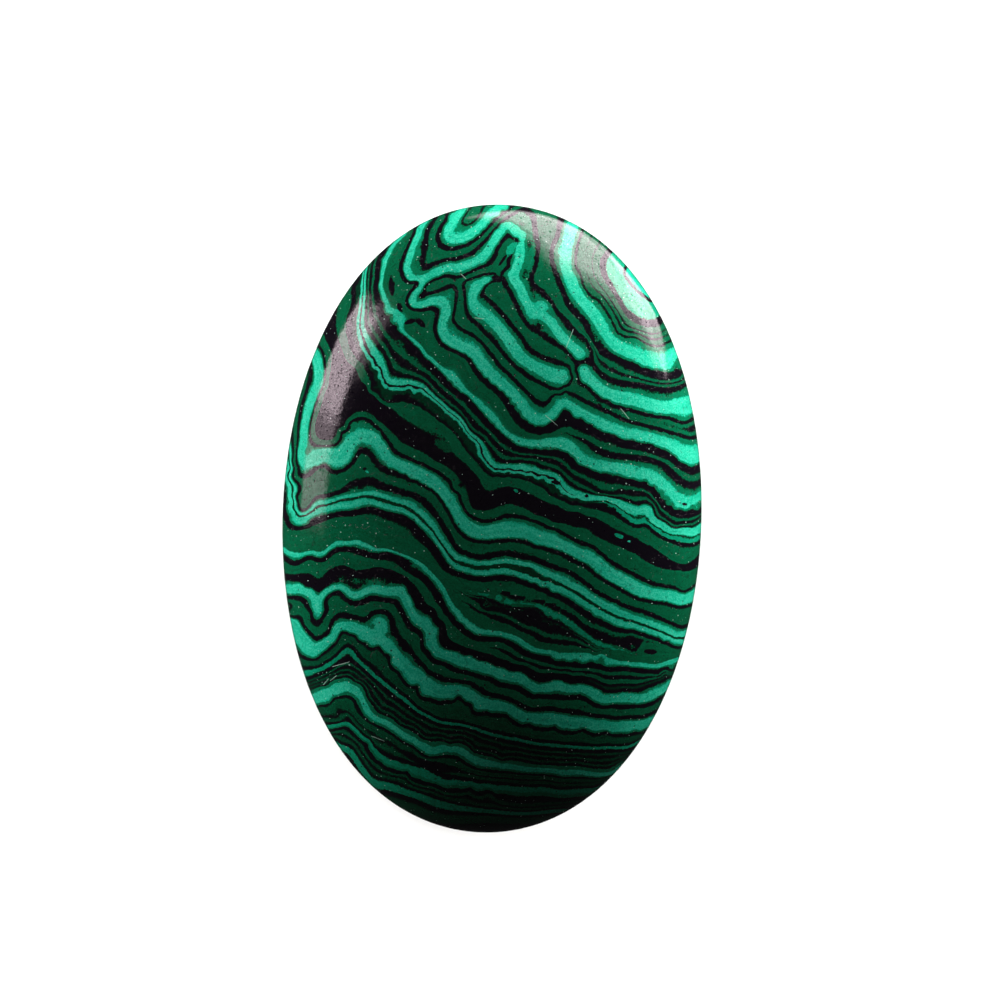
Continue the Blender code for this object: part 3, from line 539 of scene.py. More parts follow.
        (348.6, 724.2, 2.2), (353.5, 727.8, 2.4), (359.3, 733.3, 2.5), (365.1, 738.7, 2.6),
        (370.7, 744.6, 3), (375.5, 750.8, 3.6), (379.6, 755.8, 4.6), (384.6, 759.3, 5.2),
        (391.2, 762, 5.4), (398.2, 764.2, 5.2), (405.7, 766.8, 5.4), (412.4, 769.7, 6.6),
        (418.6, 771.2, 7.8), (424.6, 773, 7.8), (430.6, 776.2, 7.2), (437.2, 779.3, 6.5),
        (443.4, 781.6, 5.8), (450.4, 782.5, 5.2), (458.7, 782.6, 5), (466.4, 783.4, 5), (474.1, 784.7, 5),
        (482.8, 786, 5), (492.5, 786.9, 5), (502.2, 787.6, 5), (511.8, 788.6, 5), (521.5, 789.4, 5),
        (531.2, 789.5, 4.8), (540.8, 789.4, 4.7), (550.5, 790.4, 5), (559, 792.2, 5), (569.7, 791.9, 5),
        (579.3, 791.2, 4.8), (589, 790.8, 4.8), (598, 788.6, 4.8), (607, 785, 4.8)]),
    ("black E9", 33.85, 0.22, RIGHT, [
        (322, 731, 5), (347, 729.5, 5), (366, 747, 7), (380, 764, 5), (406, 772.5, 4.5),
        (435, 785.5, 4.5), (470, 789.5, 5), (490, 792, 4)]),
    ("pale 18 rim", 35.2, 0.28, RIGHT, [
        (330, 742, 5.5), (338, 746, 5.5), (343.8, 748.2, 5.5), (349.6, 751.6, 5.5), (354.2, 757.6, 5.5),
        (358.5, 763.8, 5.5), (363.1, 770.2, 5.5), (367.2, 776.2, 5)]),
    ("pale 18", 35.2, 0.3, RIGHT, [
        (379.5, 785.2, 8), (385, 785.6, 8), (391.4, 787.2, 7.6), (398.9, 789.8, 7), (406.8, 792.7, 6.6),
        (415, 795.3, 6.4), (422.5, 797.8, 7), (430.7, 801, 7.6), (439.6, 804.2, 7.6), (449, 806.4, 6.8),
        (458.7, 808, 6), (468.3, 809.2, 5), (478, 810.2, 4.2), (487.7, 811.2, 3.5), (502.2, 812.4, 3.2),
        (516.7, 813.6, 3.2), (526.3, 813.6, 3.2), (536, 813, 3.2), (545.7, 812.1, 3.2), (557, 810.8, 3.2)])]

# The stack of layers from the top downward: (height at which a layer ends, its paleness).
# Paleness runs from 0, the black layers, to 1, the palest green.
BLACK, DARK, DEEP, GREEN, MARGIN, TEAL, PALE = 0.0, 0.2, 0.28, 0.34, 0.46, 0.62, 0.88
STACK = [
    (-7.34, PALE), (-7.1, BLACK), (-5.85, TEAL), (-5.35, BLACK), (-3.82, GREEN),
    (-3.66, BLACK), (-3.41, MARGIN), (-2.45, PALE), (-2.2, MARGIN), (-1.8, BLACK),
    (-1.1, GREEN), (-0.72, BLACK), (-0.47, MARGIN), (0.47, PALE), (0.67, MARGIN),
    (1.37, BLACK), (2.2, GREEN), (2.37, MARGIN), (3.03, PALE),
    (3.25, MARGIN), (3.95, BLACK), (4.2, GREEN), (4.5, BLACK), (4.75, GREEN), (5.0, BLACK),
    (5.12, MARGIN), (6.08, PALE), (6.45, DARK), (6.85, BLACK), (7.9, GREEN), (9.5, BLACK),
    (10.42, GREEN), (10.78, BLACK), (11.0, MARGIN), (12.1, PALE), (12.24, MARGIN),
    (12.56, BLACK), (13.08, GREEN), (13.52, BLACK), (13.74, MARGIN), (14.22, PALE),
    (14.57, DARK), (15.13, PALE), (15.35, MARGIN), (15.95, BLACK), (18.75, GREEN),
    (19.25, PALE), (19.45, MARGIN), (20.05, BLACK), (21.4, GREEN), (22.38, BLACK),
    (22.55, MARGIN), (23.45, PALE), (23.71, MARGIN), (24.19, BLACK), (24.8, GREEN),
    (25.2, BLACK), (25.4, MARGIN), (26.5, PALE), (26.76, MARGIN), (27.14, BLACK),
    (27.86, DEEP), (28.14, BLACK), (28.46, TEAL), (28.8, BLACK),
    (29.0, DEEP), (29.2, BLACK), (29.4, DEEP), (29.6, BLACK), (29.8, DEEP), (30.05, BLACK),
    (30.47, MARGIN), (31.13, PALE), (31.38, MARGIN), (31.62, BLACK), (32.1, DEEP), (32.22, BLACK),
    (32.56, DEEP), (32.86, BLACK), (33.34, TEAL), (33.63, MARGIN), (34.0, BLACK), (34.26, DEEP),
    (34.4, BLACK), (34.66, DEEP), (34.9, BLACK), (35.5, TEAL), (35.9, BLACK), (36.7, DEEP),
    (40.0, BLACK)]

# Layers that pinch out: (first height, last height, paleness, first and last pixel column
# of the photograph between which they show).
PARTIAL_LAYERS = [
    (-4.8, -4.72, BLACK, 595, 668), (-4.36, -4.22, BLACK, 595, 668),
    (-1.52, -1.42, BLACK, 590, 800), (1.75, 2.09, BLACK, 574, 800),
    (5.56, 5.72, BLACK, 200, 570), (6.22, 6.42, TEAL, 605, 800),
    (16.2, 16.6, BLACK, 572, 648), (16.72, 17.08, TEAL, 484, 624),
    (17.18, 17.24, BLACK, 540, 625), (17.32, 17.54, BLACK, 470, 590),
    (17.82, 18.1, BLACK, 470, 600), (20.5, 20.9, BLACK, 500, 800),
    (21.74, 21.95, DARK, 590, 800), (31.9, 32.6, BLACK, 408, 452)]
UPPER_PARTIAL = 6  # how many of them lie in the upper part of the stack
TAPER = 22         # pixels over which such a layer thins out

# Patches that cut across the layers, and one painted highlight: middle, length and breadth in pixels
# of the photograph, degrees that the length is turned from the width towards the foot, and paleness.
PATCHES_AND_PIT_HIGHLIGHT = [
    (392, 287, 19, 6, 80, BLACK), (400.5, 308.5, 10, 5, 70, BLACK), (411, 322.5, 12, 5, -20, BLACK),
    (421, 324, 12, 6, 40, BLACK), (444, 446, 20, 9, 30, DEEP), (618, 535.5, 9, 4, 25, TEAL),
    # The pale crescent at (368, 472) is a painted highlight on the edge of the black pit at (365.5, 469).
    (365.5, 469, 4, 3, 0, BLACK), (368, 472, 4, 2, 30, PALE), (586, 496, 4, 3, 0, BLACK),
    (684, 504, 5, 3, 0, BLACK), (556, 483, 9, 4, 10, BLACK), (650, 651, 14, 5, 0, BLACK),
    (516, 491, 5, 3, 20, TEAL), (628, 541, 3, 2, 0, PALE),
    (511, 250, 16, 7, -60, TEAL), (503, 261, 14, 3, -60, BLACK), (497, 280, 12, 7, 10, BLACK)]

# Scratches in the polish, from end to end in pixels of the photograph.
SCRATCHES = [
    (545, 416, 557, 426), (573, 330, 566, 348), (620, 409, 628, 419), (324, 684, 329, 678),
    (331, 680, 337, 675), (333, 666, 350, 661), (461, 275, 466, 280), (475, 319, 484, 320),
    (372, 735, 385, 740)]
SCRATCH_WIDTH = 0.065 * MM

# Softness of a layer's edge, in steps of the stack.
EDGE = 0.04

# Steps of the stack to either side of a layer that pinches out where its mask holds, and how
# fast the layer thickens once it shows.
MASK_MARGIN = 0.3
THICKENING = 5.0

# The stops that one run of shades gathers before it ends at the next black layer.
RUN_STOPS = 16

# The field of heights: pixels over which it is rounded off round a known point, how far a
# height may give way to its neighbours, and how many points are worked out at a time.
REACH = 5.0
SLACK = 0.1
CHUNK = 8000

# How the layers run on below the rim, as a distance sideways for each step down: their lean
# to the right and towards the top end, how far they sway round it, and over what length.
LEAN_RIGHT, LEAN_UP = 0.10, 0.22
SWAY_RIGHT, SWAY_UP = 0.12, 0.14
SWAY_RIGHT_LENGTH, SWAY_UP_LENGTH = 9 * MM, 7 * MM
SWAY_START = 1.0

# How strongly the surface's points gather at the rim.
GATHERING = 0.3

# Malachite's greens over paleness.
MALACHITE = [
    (0.00, "#0D0810"), (0.10, "#05110B"), (0.20, "#022E1B"), (0.34, "#035535"), (0.48, "#046C49"),
    (0.62, "#078C67"), (0.84, "#12AF8A"), (1.00, "#40CBA6")]
MALACHITE_IOR = 1.75

# Waver of the layers' edges: sizes, each with its height in steps of the stack.
WAVER = [(1.3 * MM, 0.14), (0.35 * MM, 0.16), (0.13 * MM, 0.20)]

# How a patch's edge frays: size, and share of the patch's own half length.
FRAY_SIZE, FRAY = 0.3 * MM, 1.4

# Changes of paleness inside a layer. Malachite's fibres are a few hundredths of a millimetre
# thick, too fine for pixels of a tenth, so its crystals are drawn as coarse as they need to show.
STREAK_LENGTH, STREAKS_IN_A_STEP, STREAK_SWING = 5 * MM, 4.0, 0.44
MOTTLE_SIZE, MOTTLE_SWING = 0.6 * MM, 0.22
CRYSTAL_SIZE, CRYSTAL_SWING = 0.15 * MM, 1.0

# Marks in the polish: how far apart, the largest radius, and the shift that keeps one kind off
# another. Dust and pores are drawn coarser than the real ones, so that they show.
DUST = (0.42 * MM, 0.07 * MM, (0.0, 0.0, 0.0))
PITS = (0.60 * MM, 0.11 * MM, (3.1 * MM, 1.7 * MM, 0.0))
PORES = (0.28 * MM, 0.13 * MM, (1.9 * MM, 0.4 * MM, 0.0))
DUST_COLOUR, PIT_COLOUR = "#B9E0CC", "#0B0A0C"
DUST_STRENGTH, PIT_STRENGTH = 0.6, 0.8
SCRATCH_STRENGTH, CRACK_STRENGTH = 0.7, 0.4

# Hair cracks: the plates that they part, their width, and the noise over which one shows.
PLATE_SIZE, CRACK_WIDTH = 1.1 * MM, 0.077 * MM
BREAK_SIZE, BREAK_LEVEL = 0.5 * MM, 0.56

# Relief of the polish: its depth, its broad and its fine waves, and the dents of the marks.
RELIEF_DEPTH, RELIEF_STRENGTH = 0.04 * MM, 0.6
PEEL_SIZE, PEEL = 0.8 * MM, 0.5
SKIN_SIZE, SKIN = 0.20 * MM, 0.22
MARK_DENT, SCRATCH_DENT = -0.5, 0.5

# Gloss: roughness and how it changes over the surface, and how far the pores break the shine.
ROUGHNESS, ROUGHNESS_SWING, ROUGHNESS_SIZE = 0.09, 0.10, 0.9 * MM
SCRATCH_ROUGHNESS = 0.15
SHINE, SHINE_SWING, PORE_DULLING = 0.5, 1.9, -0.35

# The studio: the table's half width, and the little light that comes from all round.
TABLE_HALF_WIDTH = 1.5
LIGHT_ALL_ROUND = 0.015
FILM_WIDTH = 36.0


def linear(sheen):
    """A colour written as sRGB hex, turned to linear light."""
    parts = [int(sheen[i:i + 2], 16) / 255 for i in (1, 3, 5)]
    return [c / 12.92 if c <= 0.04045 else ((c + 0.055) / 1.055)**2.4 for c in parts] + [1.0]


# The rock's layers

def across(line):
    """Unit steps to the right hand of a line of points, from the chords beside each point."""
    chord = np.gradient(line, axis=0)
    chord /= np.linalg.norm(chord, axis=1)[:, None]
    return np.stack([-chord[:, 1], chord[:, 0]], 1)


def known_heights():
    """Points of the photograph where the height in the stack is known, and the heights.

    A traced layer gives both its edges, half its thickness to either side of its middle.
    """
    places, heights = [], []
    for _, height, half, way, line in TRACED_LAYERS:
        line = np.array(line, float)
        middle, thickness = line[:, :2], line[:, 2:]
        if way in (CREST, TROUGH, SPOTS):
            places.append(middle)
            heights.append(np.full(len(middle), float(height)))
        if way == SPOTS:
            continue
        if way == CREST:
            right, left = -half, -half
        elif way == TROUGH:
            right, left = half, half
        else:
            right, left = half * way, -half * way
        edge = across(middle) * thickness / 2
        places += [middle + edge, middle - edge]
        heights += [np.full(len(middle), height + right), np.full(len(middle), height + left)]
    return np.concatenate(places), np.concatenate(heights)


def cones(points, places):
    """Rounded cones round the places: √(distance² + REACH²), one column for each place."""
    far = (points**2).sum(1)[:, None] + (places**2).sum(1)[None, :] - 2 * points @ places.T
    return np.sqrt(np.maximum(far + REACH**2, 0))


def stack_heights(points):
    """Height in the stack at points of the photograph.

    It is a constant plus a weighted sum of rounded cones, with the weights that give the
    known heights back at their places.
    """
    places, heights = known_heights()
    count = len(places)
    system = np.ones((count + 1, count + 1))
    system[:count, :count] = cones(places, places) - SLACK * np.eye(count)
    system[count, count] = 0
    weights = np.linalg.solve(system, np.append(heights, 0))
    parts = [cones(points[i:i + CHUNK], places) @ weights[:count]
             for i in range(0, len(points), CHUNK)]
    return np.concatenate(parts) + weights[count]


# The stone's surface

def disc_grid(cells):
    """A square grid drawn out to a round disc: (a, b) goes to (a√(1-b²/2), b√(1-a²/2))."""
    a, b = np.meshgrid(np.linspace(-1, 1, cells + 1), np.linspace(-1, 1, cells + 1))
    return a * np.sqrt(1 - b**2 / 2), b * np.sqrt(1 - a**2 / 2)


def stone_points(across_disc, along_disc, side):
    """Surface over a point of the disc, on the side above (1) or below (-1) the rim.

    Share s of the way to the rim is the sine of an angle that grows with the disc's radius,
    so points gather at the rim. Height over the middle is √(1 - s^FACE_POWER) of the half
    thickness; below, the half thickness is such that the flat cuts it at FLAT_SHARE. The
    flat is half the sum of the uncut height h and √(h² + FLAT_ROUNDING²), which is h or 0
    with the corner between them rounded.
    """
    radius = np.minimum(np.hypot(across_disc, along_disc), 1)
    angle = np.arctan2(along_disc, across_disc)
    share = np.sin(pi / 2 * ((1 - GATHERING) * radius + GATHERING * radius**3))
    rise = np.sqrt(np.maximum(1 - share**FACE_POWER, 0))
    fullness = (1 - SHOULDER_FULLNESS * np.cos(4 * angle)) / (1 - SHOULDER_FULLNESS)
    x = HALF_WIDTH * np.cos(angle) * fullness * share
    y = HALF_LENGTH * np.sin(angle) * fullness * share
    if side > 0:
        z = MIDDLE_HEIGHT * (1 + rise)
    else:
        uncut = MIDDLE_HEIGHT * (1 - rise / np.sqrt(1 - FLAT_SHARE**FACE_POWER))
        z = (uncut + np.hypot(uncut, FLAT_ROUNDING)) / 2
    return np.stack([x, y, z], -1)


def stone_surface():
    """Points and four-sided faces of the whole stone: two grids that share the rim."""
    disc = disc_grid(CELLS_ACROSS)
    rows = CELLS_ACROSS + 1
    above = np.arange(rows * rows).reshape(rows, rows)
    inner = (slice(1, -1), slice(1, -1))
    below = above.copy()
    below[inner] = rows * rows + np.arange((rows - 2)**2).reshape(rows - 2, rows - 2)
    points = np.concatenate([
        stone_points(*disc, 1).reshape(-1, 3),
        stone_points(*disc, -1)[inner].reshape(-1, 3)])
    faces = [np.stack([g[:-1, :-1], g[:-1, 1:], g[1:, 1:], g[1:, :-1]], -1).reshape(-1, 4)
             for g in (above, below)]
    return points, np.concatenate([faces[0], faces[1][:, ::-1]])


def seen_at(points):
    """Pixel of the photograph at which the layer through each point is traced.

    Above the rim it is the pixel that shows the point. Below, the layers run on downward
    through the stone, leaning towards its top end and swaying by a sine.
    """
    x, y, z = points.T
    nearer = CAMERA_HEIGHT / (CAMERA_HEIGHT - np.maximum(z - MIDDLE_HEIGHT, 0))
    depth = np.maximum(MIDDLE_HEIGHT - z, 0)
    x = x * nearer + depth * (LEAN_RIGHT + SWAY_RIGHT * np.sin(y / SWAY_RIGHT_LENGTH + SWAY_START))
    y = y * nearer - depth * (LEAN_UP + SWAY_UP * np.sin(x / SWAY_UP_LENGTH))
    across_px, down_px = x / PIXEL, -y / PIXEL
    return np.stack([
        OUTLINE_MIDDLE[0] + across_px * cos(LEAN) - down_px * sin(LEAN),
        OUTLINE_MIDDLE[1] + across_px * sin(LEAN) + down_px * cos(LEAN)], 1)


def on_stone(x_px, y_px):
    """Place on the stone's plan, in its own frame, that a pixel of the photograph shows."""
    right, down = (x_px - OUTLINE_MIDDLE[0]) * PIXEL, (y_px - OUTLINE_MIDDLE[1]) * PIXEL
    return Vector((right * cos(LEAN) + down * sin(LEAN), right * sin(LEAN) - down * cos(LEAN), 0))


def fade(low, high, value):
    """Smooth step 3t² - 2t³ from 0 at low to 1 at high."""
    t = np.clip((value - low) / (high - low), 0, 1)
    return t * t * (3 - 2 * t)


def add_stone():
    """The stone as a mesh with its layers' heights, and where thin layers show, on its points."""
    points, faces = stone_surface()
    mesh = bpy.data.meshes.new("stone")
    mesh.from_pydata(points, [], faces)
    mesh.polygons.foreach_set("use_smooth", np.ones(len(faces), bool))
    pixels = seen_at(points)
    heights = stack_heights(pixels)
    shown = np.zeros(len(points))
    for first, last, _, start, stop in PARTIAL_LAYERS:
        here = (heights > first - MASK_MARGIN) & (heights < last + MASK_MARGIN)
        width = (fade(start - TAPER, start + TAPER, pixels[:, 0])
                 * fade(stop + TAPER, stop - TAPER, pixels[:, 0]))
        shown = np.where(here, width, shown)
    for name, values in (("layer", heights), ("shown", shown)):
        mesh.attributes.new(name, "FLOAT", "POINT").data.foreach_set(
            "value", values.astype(np.float32))
    stone = bpy.data.objects.new("polished_stone", mesh)
    bpy.context.scene.collection.objects.link(stone)
    return stone


# The finish

def add(tree, kind, inputs=(), **settings):
    """Adds a node with its settings, and fills its sockets or links them.

    inputs goes from socket to value, or is a row of values for the first sockets. A value may
    also be one of another node's outputs, or another node, which stands for its first output.
    """
    node = tree.nodes.new("ShaderNode" + kind)
    for name, value in settings.items():
        setattr(node, name, value)
    if isinstance(inputs, tuple):
        inputs = dict(enumerate(inputs))
    for socket, value in inputs.items():
        if isinstance(value, bpy.types.Node):
            value = value.outputs[0]
        if isinstance(value, bpy.types.NodeSocket):
            tree.links.new(value, node.inputs[socket])
        else:
            node.inputs[socket].default_value = value
    return node


def shades_over(tree, value, stops, low=0.0, high=1.0):
    """Greys or colours that change over a value; stops are (value, grey or colour, strength)."""
    share = add(tree, "MapRange", {"Value": value, "From Min": low, "From Max": high})
    node = add(tree, "ValToRGB", {"Fac": share})
    elements = node.color_ramp.elements
    while len(elements) < len(stops):
        elements.new(1.0)
    for element, (place, colour, strength) in zip(elements, stops):
        element.position = (place - low) / (high - low)
        element.color = (*(colour[:3] if isinstance(colour, list) else (colour,) * 3), strength)
    return node


def grain(tree, place, size, detail=2.0, rough=0.5):
    """Noise from 0 to 1 whose lumps measure about size."""
    return add(tree, "TexNoise", {
        "Vector": place, "Scale": 1 / size, "Detail": detail, "Roughness": rough})


def swing(tree, pattern, depth, middle=0.0, clamp=False):
    """A pattern from 0 to 1 made to swing round a middle: middle + depth · (pattern - 1/2)."""
    return add(tree, "Math", (pattern, depth, middle - depth / 2),
               operation="MULTIPLY_ADD", use_clamp=clamp)


def layer_paleness(tree, height):
    """Paleness of the layer at a height: runs of the stack, each from one black layer to a
    later one, whose sum is the whole stack."""
    total = 0.0
    top = start = STACK[0][0] - 2
    run = []
    following = [shade for _, shade in STACK[1:]] + [BLACK]
    for (end, shade), next_shade in zip(STACK, following):
        middle = (top + end) / 2
        if shade == BLACK and len(run) > RUN_STOPS:
            part = shades_over(tree, height, [(start, 0.0, 1.0), *run, (middle, 0.0, 1.0)], start, middle)
            total = add(tree, "Math", (total, part), operation="ADD")
            run, start = [], middle
        run += [(end - EDGE, shade, 1.0), (end + EDGE, next_shade, 1.0)]
        top = end
    part = shades_over(tree, height, [(start, 0.0, 1.0), *run, (top + 1, 0.0, 1.0)], start, top + 1)
    return add(tree, "Math", (total, part), operation="ADD")


def partial_layers(tree, height, shown, paleness):
    """Lays the layers that pinch out over the paleness of the others.

    A layer's thickness shrinks with shown: only heights stay whose nearness to the layer's
    middle, from 0 at its edges to 1, is over 1 - shown.
    """
    for group in (PARTIAL_LAYERS[:UPPER_PARTIAL], PARTIAL_LAYERS[UPPER_PARTIAL:]):
        stops = []
        for first, last, shade, _, _ in group:
            stops += [(first - EDGE, shade, 0.0), ((first + last) / 2, shade, 1.0),
                      (last + EDGE, shade, 0.0)]
        layer = shades_over(tree, height, stops, group[0][0] - 1, group[-1][1] + 1)
        nearness = add(tree, "Math", (layer.outputs["Alpha"], shown), operation="ADD")
        excess = add(tree, "Math", (nearness, 1.0), operation="SUBTRACT")
        strength = add(tree, "Math", (excess, THICKENING), operation="MULTIPLY", use_clamp=True)
        paleness = add(tree, "Mix", {0: strength, 2: paleness, 3: layer}, data_type="FLOAT")
    return paleness


def patches_and_pit_highlight(tree, place, paleness):
    """Lays the patches over the paleness: inside its ellipse a patch has its own. One is a painted
    highlight.

    A place's distance from an ellipse's middle is measured in its half lengths and compared
    with 1, or a little more or less by a noise that frays the edge.
    """
    reach = swing(tree, grain(tree, place, FRAY_SIZE, 3.0, 0.7), FRAY, 1.0)
    for x_px, y_px, length, breadth, turn, shade in PATCHES_AND_PIT_HIGHLIGHT:
        drawn = add(tree, "Mapping", {
            "Vector": place, "Location": on_stone(x_px, y_px),
            "Rotation": (0, 0, -LEAN - radians(turn)),
            "Scale": (length * PIXEL / 2, breadth * PIXEL / 2, 1.0)}, vector_type="TEXTURE")
        away = add(tree, "VectorMath", (drawn,), operation="LENGTH").outputs["Value"]
        inside = add(tree, "Math", (away, reach), operation="LESS_THAN")
        paleness = add(tree, "Mix", {0: inside, 2: paleness, 3: shade}, data_type="FLOAT")
    return paleness


def streaked(tree, place, height, paleness):
    """Adds streaks, mottles and crystals to the paleness, more strongly where it is pale.

    The streaks' noise is read along the height and along the stone, so it follows the layers.
    """
    split = add(tree, "SeparateXYZ", (place,))
    along = add(tree, "CombineXYZ", (
        add(tree, "Math", (height, STREAKS_IN_A_STEP), operation="MULTIPLY"),
        add(tree, "Math", (split.outputs["X"], STREAK_LENGTH), operation="DIVIDE"),
        add(tree, "Math", (split.outputs["Y"], STREAK_LENGTH), operation="DIVIDE")))
    change = swing(tree, grain(tree, along, 1.0, 4.0, 0.65), STREAK_SWING)
    for size, rough, depth in ((MOTTLE_SIZE, 0.6, MOTTLE_SWING), (CRYSTAL_SIZE, 0.8, CRYSTAL_SWING)):
        lumps = swing(tree, grain(tree, place, size, 3.0, rough), depth)
        change = add(tree, "Math", (change, lumps), operation="ADD")
    share = add(tree, "Math", (paleness, 0.9, 0.1), operation="MULTIPLY_ADD")
    return add(tree, "Math", (change, share, paleness), operation="MULTIPLY_ADD", use_clamp=True)


def spots(tree, place, apart, radius, shift):
    """Round spots about apart from each other and up to radius across, 1 inside and 0 outside.

    Each cell of a Voronoi pattern has one at its middle, and the square of the cell's random
    shade sets its size, so that many are too small to see.
    """
    moved = add(tree, "Mapping", {"Vector": place, "Location": shift})
    cells = add(tree, "TexVoronoi", {"Vector": moved, "Scale": 1 / apart})
    chance = add(tree, "SeparateColor", (cells.outputs["Color"],))
    square = add(tree, "Math", (chance, 2.0), operation="POWER")
    size = add(tree, "Math", (square, radius / apart), operation="MULTIPLY")
    return add(tree, "Math", (cells, size), operation="LESS_THAN")


def named_scratches(tree, place):
    """The scratches that the photograph shows, each the surroundings of a straight stroke.

    A point's distance to a stroke is its distance to the stroke's nearest point, which lies
    at the share of the stroke given by the dot product, kept between 0 and 1.
    """
    deepest = 0.0
    plan = add(tree, "VectorMath", (place, (1, 1, 0)), operation="MULTIPLY")
    for x1, y1, x2, y2 in SCRATCHES:
        start = on_stone(x1, y1)
        stroke = on_stone(x2, y2) - start
        away = add(tree, "VectorMath", (plan, start), operation="SUBTRACT")
        dot = add(tree, "VectorMath", (away, stroke / stroke.length_squared), operation="DOT_PRODUCT")
        share = add(tree, "Math", (dot.outputs["Value"], 0.0), operation="ADD", use_clamp=True)
        nearest = add(tree, "VectorMath", {0: stroke, "Scale": share}, operation="SCALE")
        gap = add(tree, "VectorMath", (away, nearest), operation="DISTANCE").outputs["Value"]
        inside = add(tree, "Math", (gap, SCRATCH_WIDTH / 2), operation="LESS_THAN")
        deepest = add(tree, "Math", (deepest, inside), operation="MAXIMUM")
    return deepest


def hair_cracks(tree, place):
    """Short cracks: the edges between plates, left only where a noise is high."""
    edge = add(tree, "TexVoronoi", {
        "Vector": place, "Scale": 1 / PLATE_SIZE}, feature="DISTANCE_TO_EDGE").outputs["Distance"]
    thin = add(tree, "Math", (edge, CRACK_WIDTH / 2 / PLATE_SIZE), operation="LESS_THAN")
    broken = add(tree, "Math", (grain(tree, place, BREAK_SIZE, 3.0, 0.6), BREAK_LEVEL),
                 operation="GREATER_THAN")
    return add(tree, "Math", (thin, broken), operation="MULTIPLY")


def marked(tree, colour, marks, second, second_strength, strength, mark_colour):
    """Lays two kinds of marks over a colour, and returns the new colour and the marks.

    The second kind counts second_strength as much as the first, and the stronger one holds.
    """
    fainter = add(tree, "Math", (second, second_strength), operation="MULTIPLY")
    both = add(tree, "Math", (marks, fainter), operation="MAXIMUM")
    share = add(tree, "Math", (both, strength), operation="MULTIPLY")
    mixed = add(tree, "Mix", {0: share, 6: colour, 7: linear(mark_colour)}, data_type="RGBA")
    return mixed.outputs[2], both


def polish_relief(tree, place, dark_marks, scratches):
    """Relief of the polish: a broad and a fine noise, less the dents of marks and scratches."""
    peel = add(tree, "Math", (grain(tree, place, PEEL_SIZE), PEEL), operation="MULTIPLY")
    skin = add(tree, "Math", (grain(tree, place, SKIN_SIZE, 3.0, 0.7), SKIN, peel),
               operation="MULTIPLY_ADD")
    cuts = add(tree, "Math", (scratches, SCRATCH_DENT), operation="MULTIPLY")
    dents = add(tree, "Math", (dark_marks, cuts), operation="MAXIMUM")
    relief = add(tree, "Math", (dents, MARK_DENT, skin), operation="MULTIPLY_ADD")
    return add(tree, "Bump", {
        "Strength": RELIEF_STRENGTH, "Distance": RELIEF_DEPTH, "Height": relief})


def banded_malachite():
    """Polished malachite: opaque copper carbonate in layers from palest green to black.

    To the eye it is flat bands of colour under a clear gloss. The layers give the pattern.
    Fine streaks run along them, every layer is a little mottled by its crystals, and the
    polish shows small pits, scratches and dust. Pores break up the shine.
    """
    finish = bpy.data.materials.new("banded malachite")
    finish.use_nodes = True
    tree = finish.node_tree
    tree.nodes.clear()
    place = add(tree, "TexCoord").outputs["Object"]
    height = add(tree, "Attribute", attribute_name="layer").outputs["Fac"]
    shown = add(tree, "Attribute", attribute_name="shown").outputs["Fac"]
    for size, depth in WAVER:
        waver = swing(tree, grain(tree, place, size), depth)
        height = add(tree, "Math", (height, waver), operation="ADD")

    paleness = layer_paleness(tree, height)
    paleness = partial_layers(tree, height, shown, paleness)
    paleness = patches_and_pit_highlight(tree, place, paleness)
    paleness = streaked(tree, place, height, paleness)
    colour = shades_over(tree, paleness, [(p, linear(c), 1.0) for p, c in MALACHITE])

    scratches = named_scratches(tree, place)
    dust = spots(tree, place, *DUST)
    colour, _ = marked(tree, colour, dust, scratches, SCRATCH_STRENGTH, DUST_STRENGTH, DUST_COLOUR)
    pits = spots(tree, place, *PITS)
    colour, dark_marks = marked(
        tree, colour, pits, hair_cracks(tree, place), CRACK_STRENGTH, PIT_STRENGTH, PIT_COLOUR)
    bump = polish_relief(tree, place, dark_marks, scratches)

    dull = swing(tree, grain(tree, place, ROUGHNESS_SIZE, 3.0, 0.7), ROUGHNESS_SWING, ROUGHNESS)
    dull = add(tree, "Math", (scratches, SCRATCH_ROUGHNESS, dull), operation="MULTIPLY_ADD")
    shine = swing(tree, grain(tree, place, CRYSTAL_SIZE, 3.0, 0.8), SHINE_SWING, SHINE, clamp=True)
    shine = add(tree, "Math", (spots(tree, place, *PORES), PORE_DULLING, shine),
                operation="MULTIPLY_ADD", use_clamp=True)

    shader = add(tree, "BsdfPrincipled", {
        "Base Color": colour, "Roughness": dull, "IOR": MALACHITE_IOR,
        "Specular IOR Level": shine, "Normal": bump})
    add(tree, "OutputMaterial", {"Surface": shader})
    return finish


def white_card():
    """White card: matt paper, which gives the eye an even pale ground."""
    finish = bpy.data.materials.new("white card")
    finish.use_nodes = True
    shader = finish.node_tree.nodes["Principled BSDF"]
    shader.inputs["Base Color"].default_value = linear("#F4F4F2")
    shader.inputs["Roughness"].default_value = 0.9
    return finish


# The table, the lights and the camera

def add_table():
    """A pale matt table. Its light stays off the stone, as black card round a stone does."""
    half = TABLE_HALF_WIDTH
    mesh = bpy.data.meshes.new("table")
    mesh.from_pydata(
        [(-half, -half, 0), (half, -half, 0), (half, half, 0), (-half, half, 0)], [], [(0, 1, 2, 3)])
    mesh.materials.append(white_card())
    table = bpy.data.objects.new("table", mesh)
    bpy.context.scene.collection.objects.link(table)
    table.visible_diffuse = False
    table.visible_glossy = False
    table.visible_shadow = False
    return table


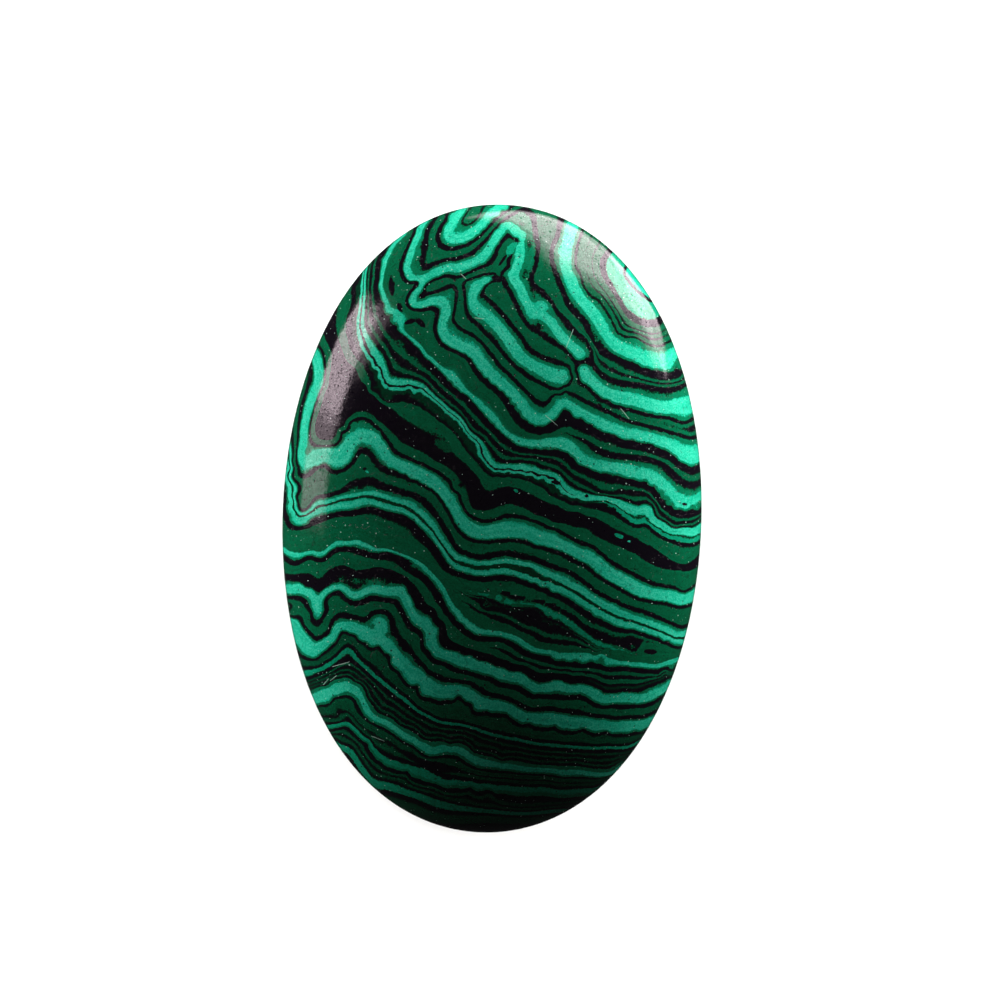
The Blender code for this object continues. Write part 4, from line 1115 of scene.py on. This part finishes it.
def add_light(name, azimuth, elevation, distance, size, glow, roll=0, colour="#FFFFFF", **seen_by):
    """A soft box facing the stone, azimuth degrees round from +X and elevation degrees up.

    glow is its surface's brightness; its power is π times that times its area.
    """
    data = bpy.data.lights.new(name, "AREA")
    data.shape = "RECTANGLE"
    data.size, data.size_y = size
    data.energy = glow * pi * size[0] * size[1]
    data.color = linear(colour)[:3]
    light = bpy.data.objects.new(name, data)
    a, e = radians(azimuth), radians(elevation)
    toward = Vector((cos(a) * cos(e), sin(a) * cos(e), sin(e)))
    light.location = Vector((0, 0, MIDDLE_HEIGHT)) + toward * distance
    light.rotation_mode = "QUATERNION"
    light.rotation_quaternion = toward.to_track_quat("Z", "Y") @ Quaternion((0, 0, 1), radians(roll))
    light.visible_camera = False
    for ray, seen in seen_by.items():
        setattr(light, "visible_" + ray, seen)
    bpy.context.scene.collection.objects.link(light)
    return light


def add_table_light(table):
    """A broad soft box overhead that lights the table alone, so that the table is near white."""
    light = add_light("table light", 90, 80, 1.0, (1.6, 1.6), 4.2)
    lit = bpy.data.collections.new("table only")
    lit.objects.link(table)
    light.light_linking.receiver_collection = lit


def add_world():
    """White behind everything that the camera sees, and only a little light from all round."""
    world = bpy.data.worlds.new("studio")
    bpy.context.scene.world = world
    world.use_nodes = True
    tree = world.node_tree
    tree.nodes.clear()
    ray = add(tree, "LightPath").outputs["Is Camera Ray"]
    level = add(tree, "Math", (ray, 1 - LIGHT_ALL_ROUND, LIGHT_ALL_ROUND), operation="MULTIPLY_ADD")
    back = add(tree, "Background", {"Color": linear("#FFFFFF"), "Strength": level})
    add(tree, "OutputWorld", {"Surface": back})


def add_camera():
    """A long lens straight above, turned so that the stone leans as it does in the photograph."""
    data = bpy.data.cameras.new("camera")
    data.sensor_width = FILM_WIDTH
    data.lens = FILM_WIDTH * CAMERA_HEIGHT / (PHOTO_SIZE * PIXEL)
    camera = bpy.data.objects.new("camera", data)
    aim = on_stone(PHOTO_SIZE / 2, PHOTO_SIZE / 2)
    camera.location = (aim.x, aim.y, MIDDLE_HEIGHT + CAMERA_HEIGHT)
    camera.rotation_euler = (0, 0, LEAN)
    bpy.context.scene.collection.objects.link(camera)
    bpy.context.scene.camera = camera


stone = add_stone()
stone.data.materials.append(banded_malachite())
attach(stone, "root")
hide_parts("palm_stone")

add_table_light(add_table())
add_light("key soft box", 49, 0, 0.40, (0.25, 0.25), 27.5, glossy=False)
add_light("left soft box", 153.5, 7, 0.25, (0.098, 0.145), 4.3, colour="#FFE8F2")
add_light("left tail", 172.5, 7, 0.25, (0.072, 0.13), 1.6, colour="#FFE8F2", diffuse=False)
add_light("left glow", 146, 23, 0.25, (0.07, 0.07), 0.9, colour="#FFE8F2", diffuse=False)
add_light("left fill", 160, 0, 0.20, (0.15, 0.15), 8.8, glossy=False)
add_light("rim soft box", 66, -8, 0.30, (0.22, 0.30), 2.9, 34, "#FFE8F2", diffuse=False)
add_light("rim bright", 37, -22, 0.30, (0.10, 0.22), 3.8, 20, "#FFE8F2", diffuse=False)
add_light("rim glow", 62, -9, 0.30, (0.34, 0.38), 2.0, 34, "#FFF0F6", diffuse=False)
add_light("sky", 90, 80, 1.0, (1.0, 1.0), 0.2, glossy=False)
add_world()
add_camera()
bpy.context.scene.view_settings.view_transform = "Standard"
